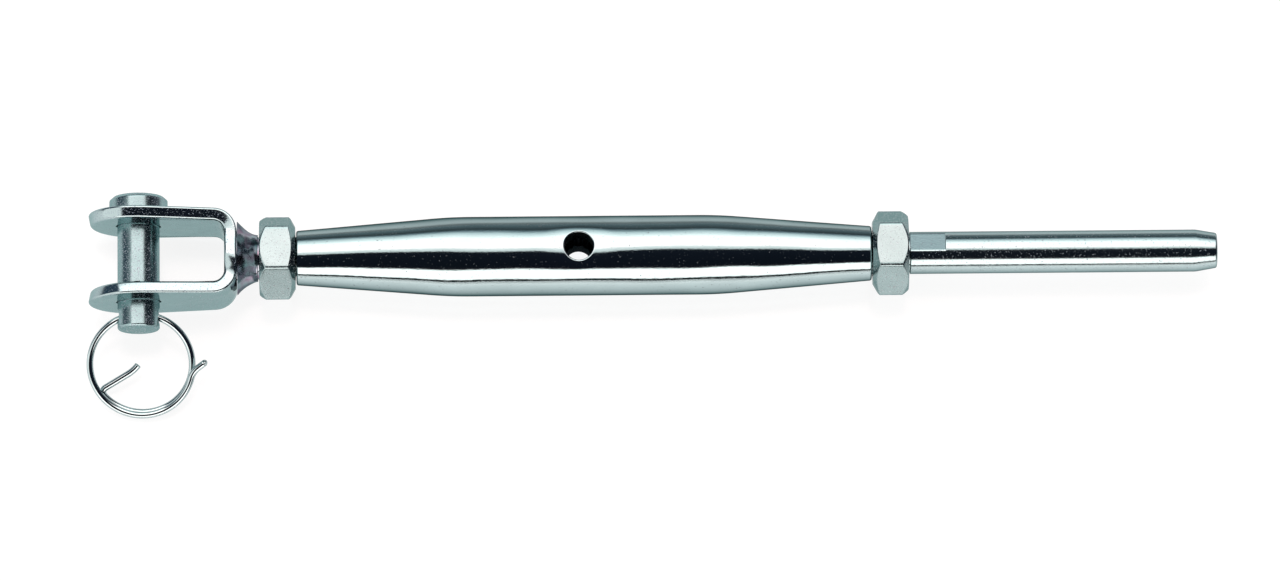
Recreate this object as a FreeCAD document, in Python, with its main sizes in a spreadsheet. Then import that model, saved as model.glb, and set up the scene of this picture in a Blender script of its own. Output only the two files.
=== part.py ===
# Shroud adjuster: a closed-body rigging screw for thin wire rigging.
#
# A bent strap fork carries a clevis pin, kept in by a wire split ring. A left-hand stud is
# welded to the strap, a right-hand stud ends in a swage tube for the wire, and both run in
# one spindle-shaped barrel. A lock nut on each stud is run up against the barrel.
#
# Millimetres. X runs from the fork to the swage end, Y is the clevis pin's axis with the
# pin's head at +Y, and Z is up. The origin is the middle of the jaw, on the pin's axis.
# The screw is modelled closed, with both studs fully in, lying on the edge of its fork.

import FreeCAD, Part
import math
import os
import Sketcher
from FreeCAD import Placement, Rotation, Vector

doc = FreeCAD.newDocument("shroud_adjuster")
X_AXIS = Vector(1, 0, 0)
Y_AXIS = Vector(0, 1, 0)
Z_AXIS = Vector(0, 0, 1)

# The ring's round wire is drawn as a bar of this many sides, each strand in this many bends
WIRE_SIDES = 8
WIRE_STRETCHES = 5

# Driving dimensions: name, value and what it measures
SIZES = [
    ("thread_diameter", 6.35, "outside of both rigging threads, a quarter inch"),
    ("thread_clearance", 0.05, "radial gap of a stud in a nut or in the barrel"),
    ("stud_reach", 37.5, "length of each stud inside the closed barrel"),
    ("plate_thickness", 1.85, "thickness of the strap that the fork is bent from"),
    ("jaw_gap", 10.1, "gap between the ears at their tips"),
    ("web_gap", 9.4, "gap between the ears at the web"),
    ("jaw_depth", 13.0, "from the pin's axis to the web's inner face"),
    ("bend_radius", 1.7, "inner radius of the strap's two bends"),
    ("ear_radius", 7.6, "round end of each ear, about the pin's axis"),
    ("strap_width", 12.6, "width of the strap at the web"),
    ("blank_margin", 1, "spare metal round the strap's blank before it is trimmed"),
    ("pin_diameter", 6.35, "shank of the clevis pin"),
    ("pin_clearance", 0.1, "radial gap of the pin in the ears"),
    ("head_diameter", 8.8, "head of the clevis pin"),
    ("head_height", 2.5, "height of the pin's head"),
    ("head_bevel", 0.6, "how far the head's upper edge is bevelled inwards"),
    ("head_bevel_height", 0.55, "height of that bevel"),
    ("head_play", 0.15, "gap between the head and the ear"),
    ("pin_tail", 4.1, "how far the pin stands out past the other ear"),
    ("pin_chamfer", 0.35, "chamfer on the pin's end"),
    ("cross_hole_edge", 0.95, "from the ear to the edge of the pin's cross hole"),
    ("cross_hole_diameter", 2.2, "cross hole for the split ring"),
    ("wire_diameter", 1.0, "wire of the split ring"),
    ("ring_diameter", 16.5, "outside diameter of the split ring"),
    ("ring_offset", 0.93, "how far the ring's wire moves aside in one turn"),
    ("ring_inset", 0.7, "how much nearer the middle the ring's front strand starts"),
    ("ring_start_angle", 223, "where the front strand starts, in degrees round the ring"),
    ("ring_end_angle", 339, "where the back strand leaves the ring, in degrees"),
    ("ring_drop_angle", 27.8, "how far the ring leans down to the ground, in degrees"),
    ("ring_yaw_angle", 2.3, "how far the ring is turned in the pin's hole, in degrees"),
    ("ring_bend", 0.8, "radius of the sharp bend into the inner tail"),
    ("ring_bend_angle", 100, "angle of that bend, in degrees"),
    ("inner_tail", 3.6, "straight part of the inner tail"),
    ("inner_curve", 6.0, "radius of the curved tip of the inner tail"),
    ("inner_curve_angle", 18, "angle of that curve, in degrees"),
    ("outer_curve", 3.0, "radius where the outer tail leaves the ring"),
    ("outer_curve_angle", 37, "angle of that curve, in degrees"),
    ("outer_tail", 1.3, "straight tip of the outer tail"),
    ("weld_length", 3.1, "length of the weld along the stud"),
    ("weld_diameter", 11.2, "weld where it meets the strap"),
    ("weld_neck", 7.2, "weld where it runs out on the stud"),
    ("weld_toe", 0.9, "length of the weld's steep toe on the strap"),
    ("weld_waist", 9.3, "weld where its toe ends"),
    ("neck_length", 0.25, "bare stud between the weld and the lock nut"),
    ("nut_flats", 11.4, "width across the flats of a lock nut"),
    ("nut_height", 5.4, "height of a lock nut"),
    ("nut_chamfer", 1.05, "depth of the chamfer on a nut's corners"),
    ("nut_face_part", 0.98, "a nut's outer end face, as a part of its width across flats"),
    ("nut_seat_part", 0.82, "its end face on the barrel's side, in the same way"),
    ("nut_gap", 0.15, "gap between a lock nut and the barrel"),
    ("fork_nut_clock", 5.2, "turn of the fork nut's flat from upright, in degrees"),
    ("swage_nut_clock", 1.3, "turn of the swage nut's flat from upright, in degrees"),
    ("barrel_length", 86.5, "length of the barrel"),
    ("barrel_diameter", 12.0, "barrel at its middle"),
    ("barrel_end_diameter", 8.2, "barrel at each end"),
    ("taper_length", 23.2, "length of each of the barrel's tapers"),
    ("shoulder_reach", 2.9, "how far each shoulder's blend reaches from its corner"),
    ("barrel_edge", 0.35, "broken rim of the barrel"),
    ("bar_hole_diameter", 4.3, "cross hole for a turning bar"),
    ("bar_hole_offset", 0.8, "cross hole's distance from mid-length, towards the fork"),
    ("bar_hole_clock", 3.3, "turn of the cross hole from upright, in degrees"),
    ("relief_width", 0.25, "groove between the thread and the swage tube"),
    ("relief_depth", 0.25, "depth of that groove"),
    ("swage_length", 46.5, "from the lock nut to the end of the swage tube"),
    ("flats_length", 5.3, "length of the wrench flats on the swage stud"),
    ("flats_width", 5.5, "width across the wrench flats"),
    ("flats_clock", 24, "turn of the wrench flats from upright, in degrees"),
    ("swage_taper", 3.2, "length of the taper at the swage tube's end"),
    ("swage_end_diameter", 5.05, "swage tube at its end"),
    ("swage_edge", 0.4, "broken rim of the swage tube"),
    ("wire_bore_diameter", 3.3, "bore for the three millimetre rigging wire"),
    ("wire_bore_depth", 38, "depth of that bore"),
]

# Lengths worked out from the driving dimensions
PLACES = [
    ("zero", "0"),
    ("stud_radius", "sizes.thread_diameter / 2"),
    ("thread_bore", "stud_radius + sizes.thread_clearance"),
    ("web_outside", "sizes.jaw_depth + sizes.plate_thickness"),
    ("weld_end", "web_outside + sizes.weld_length"),
    ("fork_nut_start", "weld_end + sizes.neck_length"),
    ("barrel_start", "fork_nut_start + sizes.nut_height + sizes.nut_gap"),
    ("barrel_end", "barrel_start + sizes.barrel_length"),
    ("swage_nut_start", "barrel_end + sizes.nut_gap"),
    ("swage_nut_end", "swage_nut_start + sizes.nut_height"),
    ("fork_stud_length", "barrel_start + sizes.stud_reach - sizes.jaw_depth"),
    ("tip_inside", "sizes.jaw_gap / 2"),
    ("tip_outside", "tip_inside + sizes.plate_thickness"),
    ("web_inside_half", "sizes.web_gap / 2"),
    ("web_outside_half", "web_inside_half + sizes.plate_thickness"),
    ("ear_tip", "-sizes.ear_radius - sizes.blank_margin"),
    ("strap_half", "sizes.strap_width / 2"),
    ("blank_half", "sizes.ear_radius + sizes.blank_margin"),
    ("trim_end", "web_outside + sizes.blank_margin"),
    ("bend_start", "web_outside - sizes.plate_thickness - sizes.bend_radius"),
    ("pin_radius", "sizes.pin_diameter / 2"),
    ("ear_hole_radius", "pin_radius + sizes.pin_clearance"),
    ("ear_splay", "(tip_inside - web_inside_half) / (sizes.jaw_depth - ear_tip)"),
    ("ear_face", "tip_outside + ear_splay * ear_tip"),
    ("head_seat", "ear_face + ear_splay * head_radius + sizes.head_play"),
    ("head_radius", "sizes.head_diameter / 2"),
    ("head_top", "head_seat + sizes.head_height"),
    ("head_bevel_start", "head_top - sizes.head_bevel_height"),
    ("head_flat_radius", "head_radius - sizes.head_bevel"),
    ("pin_end", "-ear_face - sizes.pin_tail"),
    ("pin_chamfer_start", "pin_end + sizes.pin_chamfer"),
    ("pin_end_radius", "pin_radius - sizes.pin_chamfer"),
    ("cross_hole_radius", "sizes.cross_hole_diameter / 2"),
    ("cross_hole_place", "-ear_face - sizes.cross_hole_edge - cross_hole_radius"),
    ("weld_radius", "sizes.weld_diameter / 2"),
    ("weld_waist_radius", "sizes.weld_waist / 2"),
    ("weld_neck_radius", "sizes.weld_neck / 2"),
    ("nut_corner_radius", "sizes.nut_flats / sqrt(3)"),
    ("nut_face_radius", "sizes.nut_flats / 2 * sizes.nut_face_part"),
    ("nut_seat_radius", "sizes.nut_flats / 2 * sizes.nut_seat_part"),
    ("nut_chamfer_end", "sizes.nut_height - sizes.nut_chamfer"),
    ("barrel_radius", "sizes.barrel_diameter / 2"),
    ("barrel_end_radius", "sizes.barrel_end_diameter / 2"),
    ("second_taper", "sizes.barrel_length - sizes.taper_length"),
    ("taper_slope", "(barrel_radius - barrel_end_radius) / sizes.taper_length"),
    ("taper_end", "sizes.taper_length - sizes.shoulder_reach"),
    ("taper_end_radius", "barrel_radius - sizes.shoulder_reach * taper_slope"),
    ("middle_start", "sizes.taper_length + sizes.shoulder_reach"),
    ("middle_end", "sizes.barrel_length - middle_start"),
    ("second_taper_start", "sizes.barrel_length - taper_end"),
    ("barrel_rim_radius", "barrel_end_radius - sizes.barrel_edge"),
    ("second_rim", "sizes.barrel_length - sizes.barrel_edge"),
    ("bar_hole_place", "sizes.barrel_length / 2 - sizes.bar_hole_offset"),
    ("bar_hole_radius", "sizes.bar_hole_diameter / 2"),
    ("swage_start", "barrel_end - sizes.stud_reach"),
    ("swage_thread_end", "swage_nut_end - swage_start"),
    ("relief_end", "swage_thread_end + sizes.relief_width"),
    ("relief_radius", "stud_radius - sizes.relief_depth"),
    ("flats_end", "relief_end + sizes.flats_length"),
    ("flats_half", "sizes.flats_width / 2"),
    ("flats_clear", "sizes.thread_diameter"),
    ("swage_tip", "swage_thread_end + sizes.swage_length"),
    ("swage_taper_start", "swage_tip - sizes.swage_taper"),
    ("swage_end_radius", "sizes.swage_end_diameter / 2"),
    ("wire_bore_radius", "sizes.wire_bore_diameter / 2"),
    ("wire_bore_end", "swage_tip - sizes.wire_bore_depth"),
]


def fill_sheet(name, rows, start):
    """Makes a sheet with one alias a row: the name, its value or formula, and a note."""
    sheet = doc.addObject("Spreadsheet::Sheet", name)
    for number, row in enumerate(rows, 1):
        sheet.set(f"A{number}", row[0])
        sheet.set(f"B{number}", start + str(row[1]))
        sheet.setAlias(f"B{number}", row[0])
        if len(row) > 2:
            sheet.set(f"C{number}", row[2])
    doc.recompute()
    return sheet


sizes = fill_sheet("sizes", SIZES, "")
places = fill_sheet("places", PLACES, "=")
PLACE_NAMES = [row[0] for row in PLACES]


def cell(name):
    """The expression that reads a named cell, with a minus sign kept in front."""
    plain = name.lstrip("-")
    sheet = "places" if plain in PLACE_NAMES else "sizes"
    return name.replace(plain, f"{sheet}.{plain}")


def value(name):
    """The number in a named cell."""
    plain = name.lstrip("-")
    sheet = places if plain in PLACE_NAMES else sizes
    number = float(sheet.get(plain))
    return -number if name.startswith("-") else number


def new_body(name):
    body = doc.addObject("PartDesign::Body", name)
    body.Label = name
    return body


def new_sketch(body, name, plane):
    """An empty sketch on one of the body's own origin planes."""
    sketch = body.newObject("Sketcher::SketchObject", name)
    support = next(item for item in body.Origin.OriginFeatures if item.Role == plane)
    sketch.AttachmentSupport = [(support, "")]
    sketch.MapMode = "FlatFace"
    return sketch


def fix_point(sketch, geometry, point, across, up):
    """Holds a point of the sketch at two named distances from its origin."""
    for kind, name in (("DistanceX", across), ("DistanceY", up)):
        constraint = Sketcher.Constraint(kind, -1, 1, geometry, point, value(name))
        number = sketch.addConstraint(constraint)
        sketch.setExpression(f"Constraints[{number}]", cell(name))


def bound_radius(sketch, geometry, name):
    number = sketch.addConstraint(Sketcher.Constraint("Radius", geometry, value(name)))
    sketch.setExpression(f"Constraints[{number}]", cell(name))


def draw_blend(sketch, start, corner, finish):
    """A curve between two corners, aimed at a third one from both of them."""
    poles = [Vector(value(across), value(up), 0) for across, up in (start, corner, finish)]
    curve = Part.BSplineCurve(poles, [3, 3], [0, 1], False, 2, [1, 1, 1], False)
    number = sketch.addGeometry(curve, False)
    sketch.exposeInternalGeometry(number)
    middle_pole = number + 2
    fix_point(sketch, middle_pole, 3, *corner)
    return number


def draw_outline(sketch, corners, blends={}):
    """A closed outline through corners given as pairs of cell names.

    A side is straight, unless blends names its first corner: that side is a curve, aimed at
    the corner where its two neighbours would meet.
    """
    points = [Vector(value(across), value(up), 0) for across, up in corners]
    following = list(range(1, len(corners))) + [0]
    sides = []
    for number, after in enumerate(following):
        if number in blends:
            side = draw_blend(sketch, corners[number], blends[number], corners[after])
        else:
            line = Part.LineSegment(points[number], points[after])
            side = sketch.addGeometry(line, False)
        sides.append(side)
    for number, after in enumerate(following):
        sketch.addConstraint(
            Sketcher.Constraint("Coincident", sides[number], 2, sides[after], 1))
        fix_point(sketch, sides[number], 1, *corners[number])


def draw_circle(sketch, across, up, radius):
    centre = Vector(value(across), value(up), 0)
    number = sketch.addGeometry(Part.Circle(centre, Z_AXIS, value(radius)), False)
    fix_point(sketch, number, 3, across, up)
    bound_radius(sketch, number, radius)


def turn(body, sketch, axis):
    """Turns the sketch a full circle about its own horizontal or vertical axis."""
    feature = body.newObject("PartDesign::Revolution", body.Name + "_turned")
    feature.Profile = sketch
    feature.ReferenceAxis = (sketch, [axis])
    feature.Angle = 360
    doc.recompute()
    return feature


def cut_through(body, sketch):
    """Cuts the sketch through the whole body, to both sides of its plane."""
    before = body.Shape.Volume
    feature = body.newObject("PartDesign::Pocket", sketch.Name + "_cut")
    feature.Profile = sketch
    feature.Type = "ThroughAll"
    feature.SideType = "Symmetric"
    doc.recompute()
    if body.Shape.Volume > before - 1e-3:
        raise ValueError(f"{feature.Name} removes nothing")
    return feature


def round_edges(body, name, kind, size, chosen):
    """A fillet or chamfer of a named size on the edges that the test chooses."""
    base = body.Tip
    edges = [f"Edge{n}" for n, edge in enumerate(base.Shape.Edges, 1) if chosen(edge)]
    if not edges:
        raise ValueError(f"{name} has no edges to work on")
    feature = body.newObject(f"PartDesign::{kind}", name)
    feature.Base = (base, edges)
    feature.setExpression("Radius" if kind == "Fillet" else "Size", cell(size))
    doc.recompute()
    return feature


def near(first, second):
    return abs(first - second) < 1e-4


def circle_at(place, radius, axis=X_AXIS):
    """A test for whole circles of one radius, at one place along the axis."""
    def chosen(edge):
        if not isinstance(edge.Curve, Part.Circle) or not edge.isClosed():
            return False
        centre = edge.Curve.Center.dot(axis)
        return near(centre, value(place)) and near(edge.Curve.Radius, value(radius))
    return chosen


def put_along_axis(thing, place, clock):
    """Moves a piece along X and turns it about X, away from upright towards +Y."""
    thing.Placement = Placement(Vector(value(place), 0, 0), Rotation(X_AXIS, -value(clock)))
    thing.setExpression("Placement.Base.x", cell(place))
    if clock != "zero":
        thing.setExpression("Placement.Rotation.Angle", f"{cell(clock)} * 1 deg")
        thing.Placement.Rotation = Rotation(Vector(-1, 0, 0), value(clock))


def fork_strap():
    """The fork: a flat strap with round ends, bent into a U and drilled."""
    body = new_body("fork_strap")
    section = new_sketch(body, "strap_section", "XY_Plane")
    draw_outline(section, [
        ("ear_tip", "tip_outside"),
        ("web_outside", "web_outside_half"),
        ("web_outside", "-web_outside_half"),
        ("ear_tip", "-tip_outside"),
        ("ear_tip", "-tip_inside"),
        ("jaw_depth", "-web_inside_half"),
        ("jaw_depth", "web_inside_half"),
        ("ear_tip", "tip_inside"),
    ])
    strip = body.newObject("PartDesign::Pad", "strap_strip")
    strip.Profile = section
    strip.SideType = "Symmetric"
    strip.setExpression("Length", "2 * " + cell("blank_half"))
    doc.recompute()

    def upright_at(place):
        def chosen(edge):
            upright = near(abs(edge.tangentAt(edge.FirstParameter).z), 1)
            return upright and near(edge.CenterOfMass.x, value(place))
        return chosen

    round_edges(body, "inner_bends", "Fillet", "bend_radius", upright_at("jaw_depth"))
    outer = round_edges(body, "outer_bends", "Fillet", "bend_radius", upright_at("web_outside"))
    outer.setExpression("Radius", f"{cell('bend_radius')} + {cell('plate_thickness')}")
    doc.recompute()

    trim = new_sketch(body, "ear_outline", "XZ_Plane")
    draw_outline(trim, [
        ("ear_tip", "-blank_half"),
        ("trim_end", "-blank_half"),
        ("trim_end", "blank_half"),
        ("ear_tip", "blank_half"),
    ])
    draw_ear(trim)
    cut_through(body, trim)

    pin_hole = new_sketch(body, "pin_hole", "XZ_Plane")
    draw_circle(pin_hole, "zero", "zero", "ear_hole_radius")
    cut_through(body, pin_hole)
    stud_hole = new_sketch(body, "stud_hole", "YZ_Plane")
    draw_circle(stud_hole, "zero", "zero", "stud_radius")
    cut_through(body, stud_hole)
    return body


def draw_ear(sketch):
    """The strap seen from the side: a round ear that narrows to the web."""
    radius = value("ear_radius")
    bend = Vector(value("bend_start"), value("strap_half"), 0)
    touch = math.atan2(bend.y, bend.x) + math.acos(radius / bend.Length)
    upper = Vector(radius * math.cos(touch), radius * math.sin(touch), 0)
    end = Vector(value("trim_end"), bend.y, 0)

    def mirrored(point):
        return Vector(point.x, -point.y, 0)

    route = [upper, bend, end, mirrored(end), mirrored(bend), mirrored(upper)]
    first = sketch.GeometryCount
    for start, finish in zip(route[1:], route[:-1]):
        sketch.addGeometry(Part.LineSegment(start, finish), False)
    circle = Part.Circle(Vector(0, 0, 0), Z_AXIS, radius)
    round_end = sketch.addGeometry(Part.ArcOfCircle(circle, touch, 2 * math.pi - touch), False)
    for number in range(4):
        sketch.addConstraint(
            Sketcher.Constraint("Coincident", first + number, 1, first + number + 1, 2))
    sketch.addConstraint(Sketcher.Constraint("Tangent", first, 2, round_end, 1))
    sketch.addConstraint(Sketcher.Constraint("Tangent", first + 4, 1, round_end, 2))
    sketch.addConstraint(Sketcher.Constraint("Coincident", round_end, 3, -1, 1))
    bound_radius(sketch, round_end, "ear_radius")
    fix_point(sketch, first, 1, "bend_start", "strap_half")
    fix_point(sketch, first + 1, 1, "trim_end", "strap_half")
    fix_point(sketch, first + 2, 1, "trim_end", "-strap_half")
    fix_point(sketch, first + 3, 1, "bend_start", "-strap_half")


def fork_stud():
    """The left-hand stud, from the web's inner face to its end inside the barrel."""
    body = new_body("fork_stud")
    profile = new_sketch(body, "fork_stud_profile", "XZ_Plane")
    draw_outline(profile, [
        ("zero", "zero"),
        ("zero", "stud_radius"),
        ("fork_stud_length", "stud_radius"),
        ("fork_stud_length", "zero"),
    ])
    turn(body, profile, "H_Axis")
    put_along_axis(body, "jaw_depth", "zero")
    return body


def fork_weld():
    """The weld that joins stud and strap, a hollow-flanked collar round the stud."""
    body = new_body("fork_weld")
    profile = new_sketch(body, "weld_profile", "XZ_Plane")
    draw_outline(profile, [
        ("zero", "weld_radius"),
        ("weld_toe", "weld_waist_radius"),
        ("weld_length", "weld_neck_radius"),
        ("weld_length", "stud_radius"),
        ("zero", "stud_radius"),
    ])
    turn(body, profile, "H_Axis")
    put_along_axis(body, "web_outside", "zero")
    return body


def lock_nut(name, place, clock, first_face, last_face):
    """A hexagon nut: a turned blank with chamfered ends, cut to six flats."""
    blank = new_body(name + "_blank")
    profile = new_sketch(blank, name + "_profile", "XZ_Plane")
    draw_outline(profile, [
        ("zero", "thread_bore"),
        ("zero", first_face),
        ("nut_chamfer", "nut_corner_radius"),
        ("nut_chamfer_end", "nut_corner_radius"),
        ("nut_height", last_face),
        ("nut_height", "thread_bore"),
    ])
    turn(blank, profile, "H_Axis")
    hexagon = doc.addObject("Part::Prism", name + "_hexagon")
    hexagon.Polygon = 6
    hexagon.setExpression("Circumradius", cell("nut_corner_radius"))
    hexagon.setExpression("Height", cell("nut_height"))
    flats_up = Rotation(Y_AXIS, 90) * Rotation(Z_AXIS, 30)
    hexagon.Placement = Placement(Vector(0, 0, 0), flats_up)
    nut = doc.addObject("Part::Common", name)
    nut.Label = name
    nut.Base = blank
    nut.Tool = hexagon
    doc.recompute()
    put_along_axis(nut, place, clock)
    return nut


def barrel():
    """The closed barrel: a spindle tapped from end to end, with a cross hole to turn it."""
    body = new_body("barrel")
    profile = new_sketch(body, "barrel_profile", "XZ_Plane")
    draw_outline(profile, [
        ("zero", "thread_bore"),
        ("zero", "barrel_rim_radius"),
        ("barrel_edge", "barrel_end_radius"),
        ("taper_end", "taper_end_radius"),
        ("middle_start", "barrel_radius"),
        ("middle_end", "barrel_radius"),
        ("second_taper_start", "taper_end_radius"),
        ("second_rim", "barrel_end_radius"),
        ("barrel_length", "barrel_rim_radius"),
        ("barrel_length", "thread_bore"),
    ], {
        3: ("taper_length", "barrel_radius"),
        5: ("second_taper", "barrel_radius"),
    })
    turn(body, profile, "H_Axis")
    hole = new_sketch(body, "bar_hole", "XY_Plane")
    draw_circle(hole, "bar_hole_place", "zero", "bar_hole_radius")
    cut_through(body, hole)
    put_along_axis(body, "barrel_start", "bar_hole_clock")
    return body


def swage_stud():
    """The right-hand stud, turned in one with wrench flats and the tube for the wire."""
    body = new_body("swage_stud")
    profile = new_sketch(body, "swage_profile", "XZ_Plane")
    draw_outline(profile, [
        ("zero", "zero"),
        ("zero", "stud_radius"),
        ("swage_thread_end", "stud_radius"),
        ("swage_thread_end", "relief_radius"),
        ("relief_end", "relief_radius"),
        ("relief_end", "stud_radius"),
        ("swage_taper_start", "stud_radius"),
        ("swage_tip", "swage_end_radius"),
        ("swage_tip", "wire_bore_radius"),
        ("wire_bore_end", "wire_bore_radius"),
        ("wire_bore_end", "zero"),
    ])
    turn(body, profile, "H_Axis")
    round_edges(body, "swage_rim", "Chamfer", "swage_edge",
                circle_at("swage_tip", "swage_end_radius"))
    flats = new_sketch(body, "wrench_flats", "XZ_Plane")
    for half, clear in (("flats_half", "flats_clear"), ("-flats_half", "-flats_clear")):
        draw_outline(flats, [
            ("relief_end", half),
            ("flats_end", half),
            ("flats_end", clear),
            ("relief_end", clear),
        ])
    cut_through(body, flats)
    put_along_axis(body, "swage_start", "flats_clock")
    return body


def clevis_pin():
    """The clevis pin: a headed pin with a cross hole for the split ring."""
    body = new_body("clevis_pin")
    profile = new_sketch(body, "pin_profile", "XY_Plane")
    draw_outline(profile, [
        ("zero", "pin_end"),
        ("pin_end_radius", "pin_end"),
        ("pin_radius", "pin_chamfer_start"),
        ("pin_radius", "head_seat"),
        ("head_radius", "head_seat"),
        ("head_radius", "head_bevel_start"),
        ("head_flat_radius", "head_top"),
        ("zero", "head_top"),
    ])
    turn(body, profile, "V_Axis")
    hole = new_sketch(body, "ring_hole", "YZ_Plane")
    draw_circle(hole, "cross_hole_place", "zero", "cross_hole_radius")
    cut_through(body, hole)
    return body


def bend_wire(section, point, heading, upright, bends, step=0):
    """Bends a wire stretch by stretch, and returns its solids and how to carry on.

    section is the wire's end face at the point, square to the heading, and upright is the
    way that the wire turns about. Each bend is a pair: a radius and the angle turned to the
    left in degrees, or a length and None for a straight. A coil moves aside by the step in
    a full turn.
    """
    solids = []
    for size, angle in bends:
        if angle is None:
            solids.append(section.extrude(heading * size))
            section = section.translated(heading * size)
            point = point + heading * size
            continue
        side = upright.cross(heading) * math.copysign(size, angle)
        centre = point + side
        solids.append(section.revolve(centre, upright * math.copysign(1, angle), abs(angle)))
        section = section.rotated(centre, upright, angle)
        turned = Rotation(upright, angle)
        point = centre - turned.multVec(side)
        heading = turned.multVec(heading)
        twist = step / (2 * math.pi * size) * abs(angle)
        upright = Rotation(heading, twist).multVec(upright)
    return solids, (section, point, heading, upright)


def split_ring():
    """The split ring: one spring wire, a turn and a third long, with a tail at each end.

    Its own X is the pin's cross hole, its Y points from the ring's middle to that hole, and
    its Z faces up. The wire is bent from that hole both ways.
    """
    wire_radius = value("wire_diameter") / 2
    wire_corner = wire_radius * math.sqrt(
        2 * math.pi / WIRE_SIDES / math.sin(2 * math.pi / WIRE_SIDES))
    step = value("ring_offset")
    back_radius = value("ring_diameter") / 2 - wire_radius
    front_radius = back_radius - value("ring_inset") / 2
    sag = back_radius - math.sqrt(back_radius ** 2 - value("pin_radius") ** 2)
    tilt = Rotation(Y_AXIS, -math.degrees(step / (2 * math.pi * back_radius)))
    point = Vector(0, sag / 2, 0)
    heading = tilt.multVec(X_AXIS)
    upright = tilt.multVec(Z_AXIS)
    corners = []
    for side in range(WIRE_SIDES + 1):
        turned = Rotation(X_AXIS, 360 / WIRE_SIDES * (side + 0.5))
        spoke = turned.multVec(Vector(0, wire_corner, 0))
        corners.append(point + tilt.multVec(spoke))
    section = Part.Face(Part.makePolygon(corners))

    front_turn = -(90 + 360 - value("ring_start_angle"))
    front = [(front_radius, front_turn / WIRE_STRETCHES)] * WIRE_STRETCHES
    inner_tail = [
        (value("ring_bend"), -value("ring_bend_angle")),
        (value("inner_tail"), None),
        (value("inner_curve"), value("inner_curve_angle")),
    ]
    back_turn = value("ring_end_angle") - 90
    back = [(back_radius, back_turn / WIRE_STRETCHES)] * WIRE_STRETCHES
    outer_tail = [
        (value("outer_curve"), -value("outer_curve_angle")),
        (value("outer_tail"), None),
    ]
    solids = []
    for direction, coil, tail in ((1, front, inner_tail), (-1, back, outer_tail)):
        strand, end = bend_wire(section, point, heading * direction, upright, coil, step)
        solids += strand + bend_wire(*end, tail)[0]
    ring = doc.addObject("Part::Feature", "split_ring")
    ring.Label = "split_ring"
    ring.Shape = solids[0].multiFuse(solids[1:])
    yaw = Rotation(Z_AXIS, value("ring_yaw_angle"))
    drop = Rotation(X_AXIS, value("ring_drop_angle"))
    ring.Placement = Placement(Vector(0, value("cross_hole_place"), 0), drop * yaw)
    return ring


def check(parts):
    """Stops on any failed object and any piece that isn't one sound solid."""
    doc.recompute()
    for item in doc.Objects:
        if "Invalid" in item.State or "Error" in item.State:
            raise ValueError(f"{item.Name} failed: {item.State}")
    for part in parts:
        shape = part.Shape
        if shape.isNull() or not shape.isValid() or len(shape.Solids) != 1:
            raise ValueError(f"{part.Label} isn't one valid solid")


parts = [
    fork_strap(),
    fork_stud(),
    fork_weld(),
    lock_nut("fork_lock_nut", "fork_nut_start", "fork_nut_clock",
             "nut_face_radius", "nut_seat_radius"),
    barrel(),
    lock_nut("swage_lock_nut", "swage_nut_start", "swage_nut_clock",
             "nut_seat_radius", "nut_face_radius"),
    swage_stud(),
    clevis_pin(),
    split_ring(),
]
check(parts)

os.makedirs("parts", exist_ok=True)
for part in parts:
    part.Shape.exportStep(f"parts/{part.Label}.step")
    box = part.Shape.BoundBox
    print(f"{part.Label}: {part.Shape.Volume:.1f} mm3,"
          f" x {box.XMin:.2f} to {box.XMax:.2f},"
          f" y {box.YMin:.2f} to {box.YMax:.2f},"
          f" z {box.ZMin:.2f} to {box.ZMax:.2f}")
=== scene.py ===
# %% [markdown]
# # A shroud adjuster in polished stainless steel
#
# This is the screw that tightens a thin wire shroud on a small boat. A fork takes a pin at one
# end, a threaded stud ends in a tube for the wire at the other, and the closed barrel between
# them pulls both in, because one of its threads is left-hand and the other right-hand.
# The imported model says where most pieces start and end, so the first cell loads it. All other
# sizes are written down where they are first needed.

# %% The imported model
import math
from functools import partial

import bmesh
import bpy
import numpy as np
from mathutils import Matrix, Vector, noise


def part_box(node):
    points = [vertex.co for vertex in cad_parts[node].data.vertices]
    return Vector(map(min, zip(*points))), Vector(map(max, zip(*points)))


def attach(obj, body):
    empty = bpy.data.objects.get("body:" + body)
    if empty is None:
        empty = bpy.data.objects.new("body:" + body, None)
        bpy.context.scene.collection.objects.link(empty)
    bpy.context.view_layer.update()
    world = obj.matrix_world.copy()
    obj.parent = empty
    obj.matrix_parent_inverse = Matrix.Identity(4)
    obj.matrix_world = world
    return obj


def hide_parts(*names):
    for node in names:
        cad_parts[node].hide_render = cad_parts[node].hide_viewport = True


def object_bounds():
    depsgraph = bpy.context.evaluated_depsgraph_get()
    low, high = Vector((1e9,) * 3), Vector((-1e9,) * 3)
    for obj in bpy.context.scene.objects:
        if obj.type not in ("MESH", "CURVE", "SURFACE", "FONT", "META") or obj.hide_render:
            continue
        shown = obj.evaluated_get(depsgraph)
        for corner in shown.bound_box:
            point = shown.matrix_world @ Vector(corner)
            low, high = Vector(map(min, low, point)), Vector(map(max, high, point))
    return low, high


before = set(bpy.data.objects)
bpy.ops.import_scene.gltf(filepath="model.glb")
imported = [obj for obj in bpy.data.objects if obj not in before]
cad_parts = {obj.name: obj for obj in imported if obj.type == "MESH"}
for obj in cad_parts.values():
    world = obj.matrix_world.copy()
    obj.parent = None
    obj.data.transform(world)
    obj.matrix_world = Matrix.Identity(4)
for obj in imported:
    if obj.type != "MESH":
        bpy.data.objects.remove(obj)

MM = 0.001
SCENE = bpy.context.scene
cad_low, cad_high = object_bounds()
print("CAD box in mm:", [round(side / MM, 2) for side in cad_high - cad_low])


def reach(node, axis):
    """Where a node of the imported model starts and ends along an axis, in millimetres."""
    low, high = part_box(node)
    return low[axis] / MM, high[axis] / MM


# %% [markdown]
# ## The camera
#
# The photograph was taken from almost straight above, leaning a little towards the side of the
# split ring. A long lens far away keeps the screw's two ends the same size, as they are there.
# The place and the turn were found by matching points of the model with the photograph.

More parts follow.
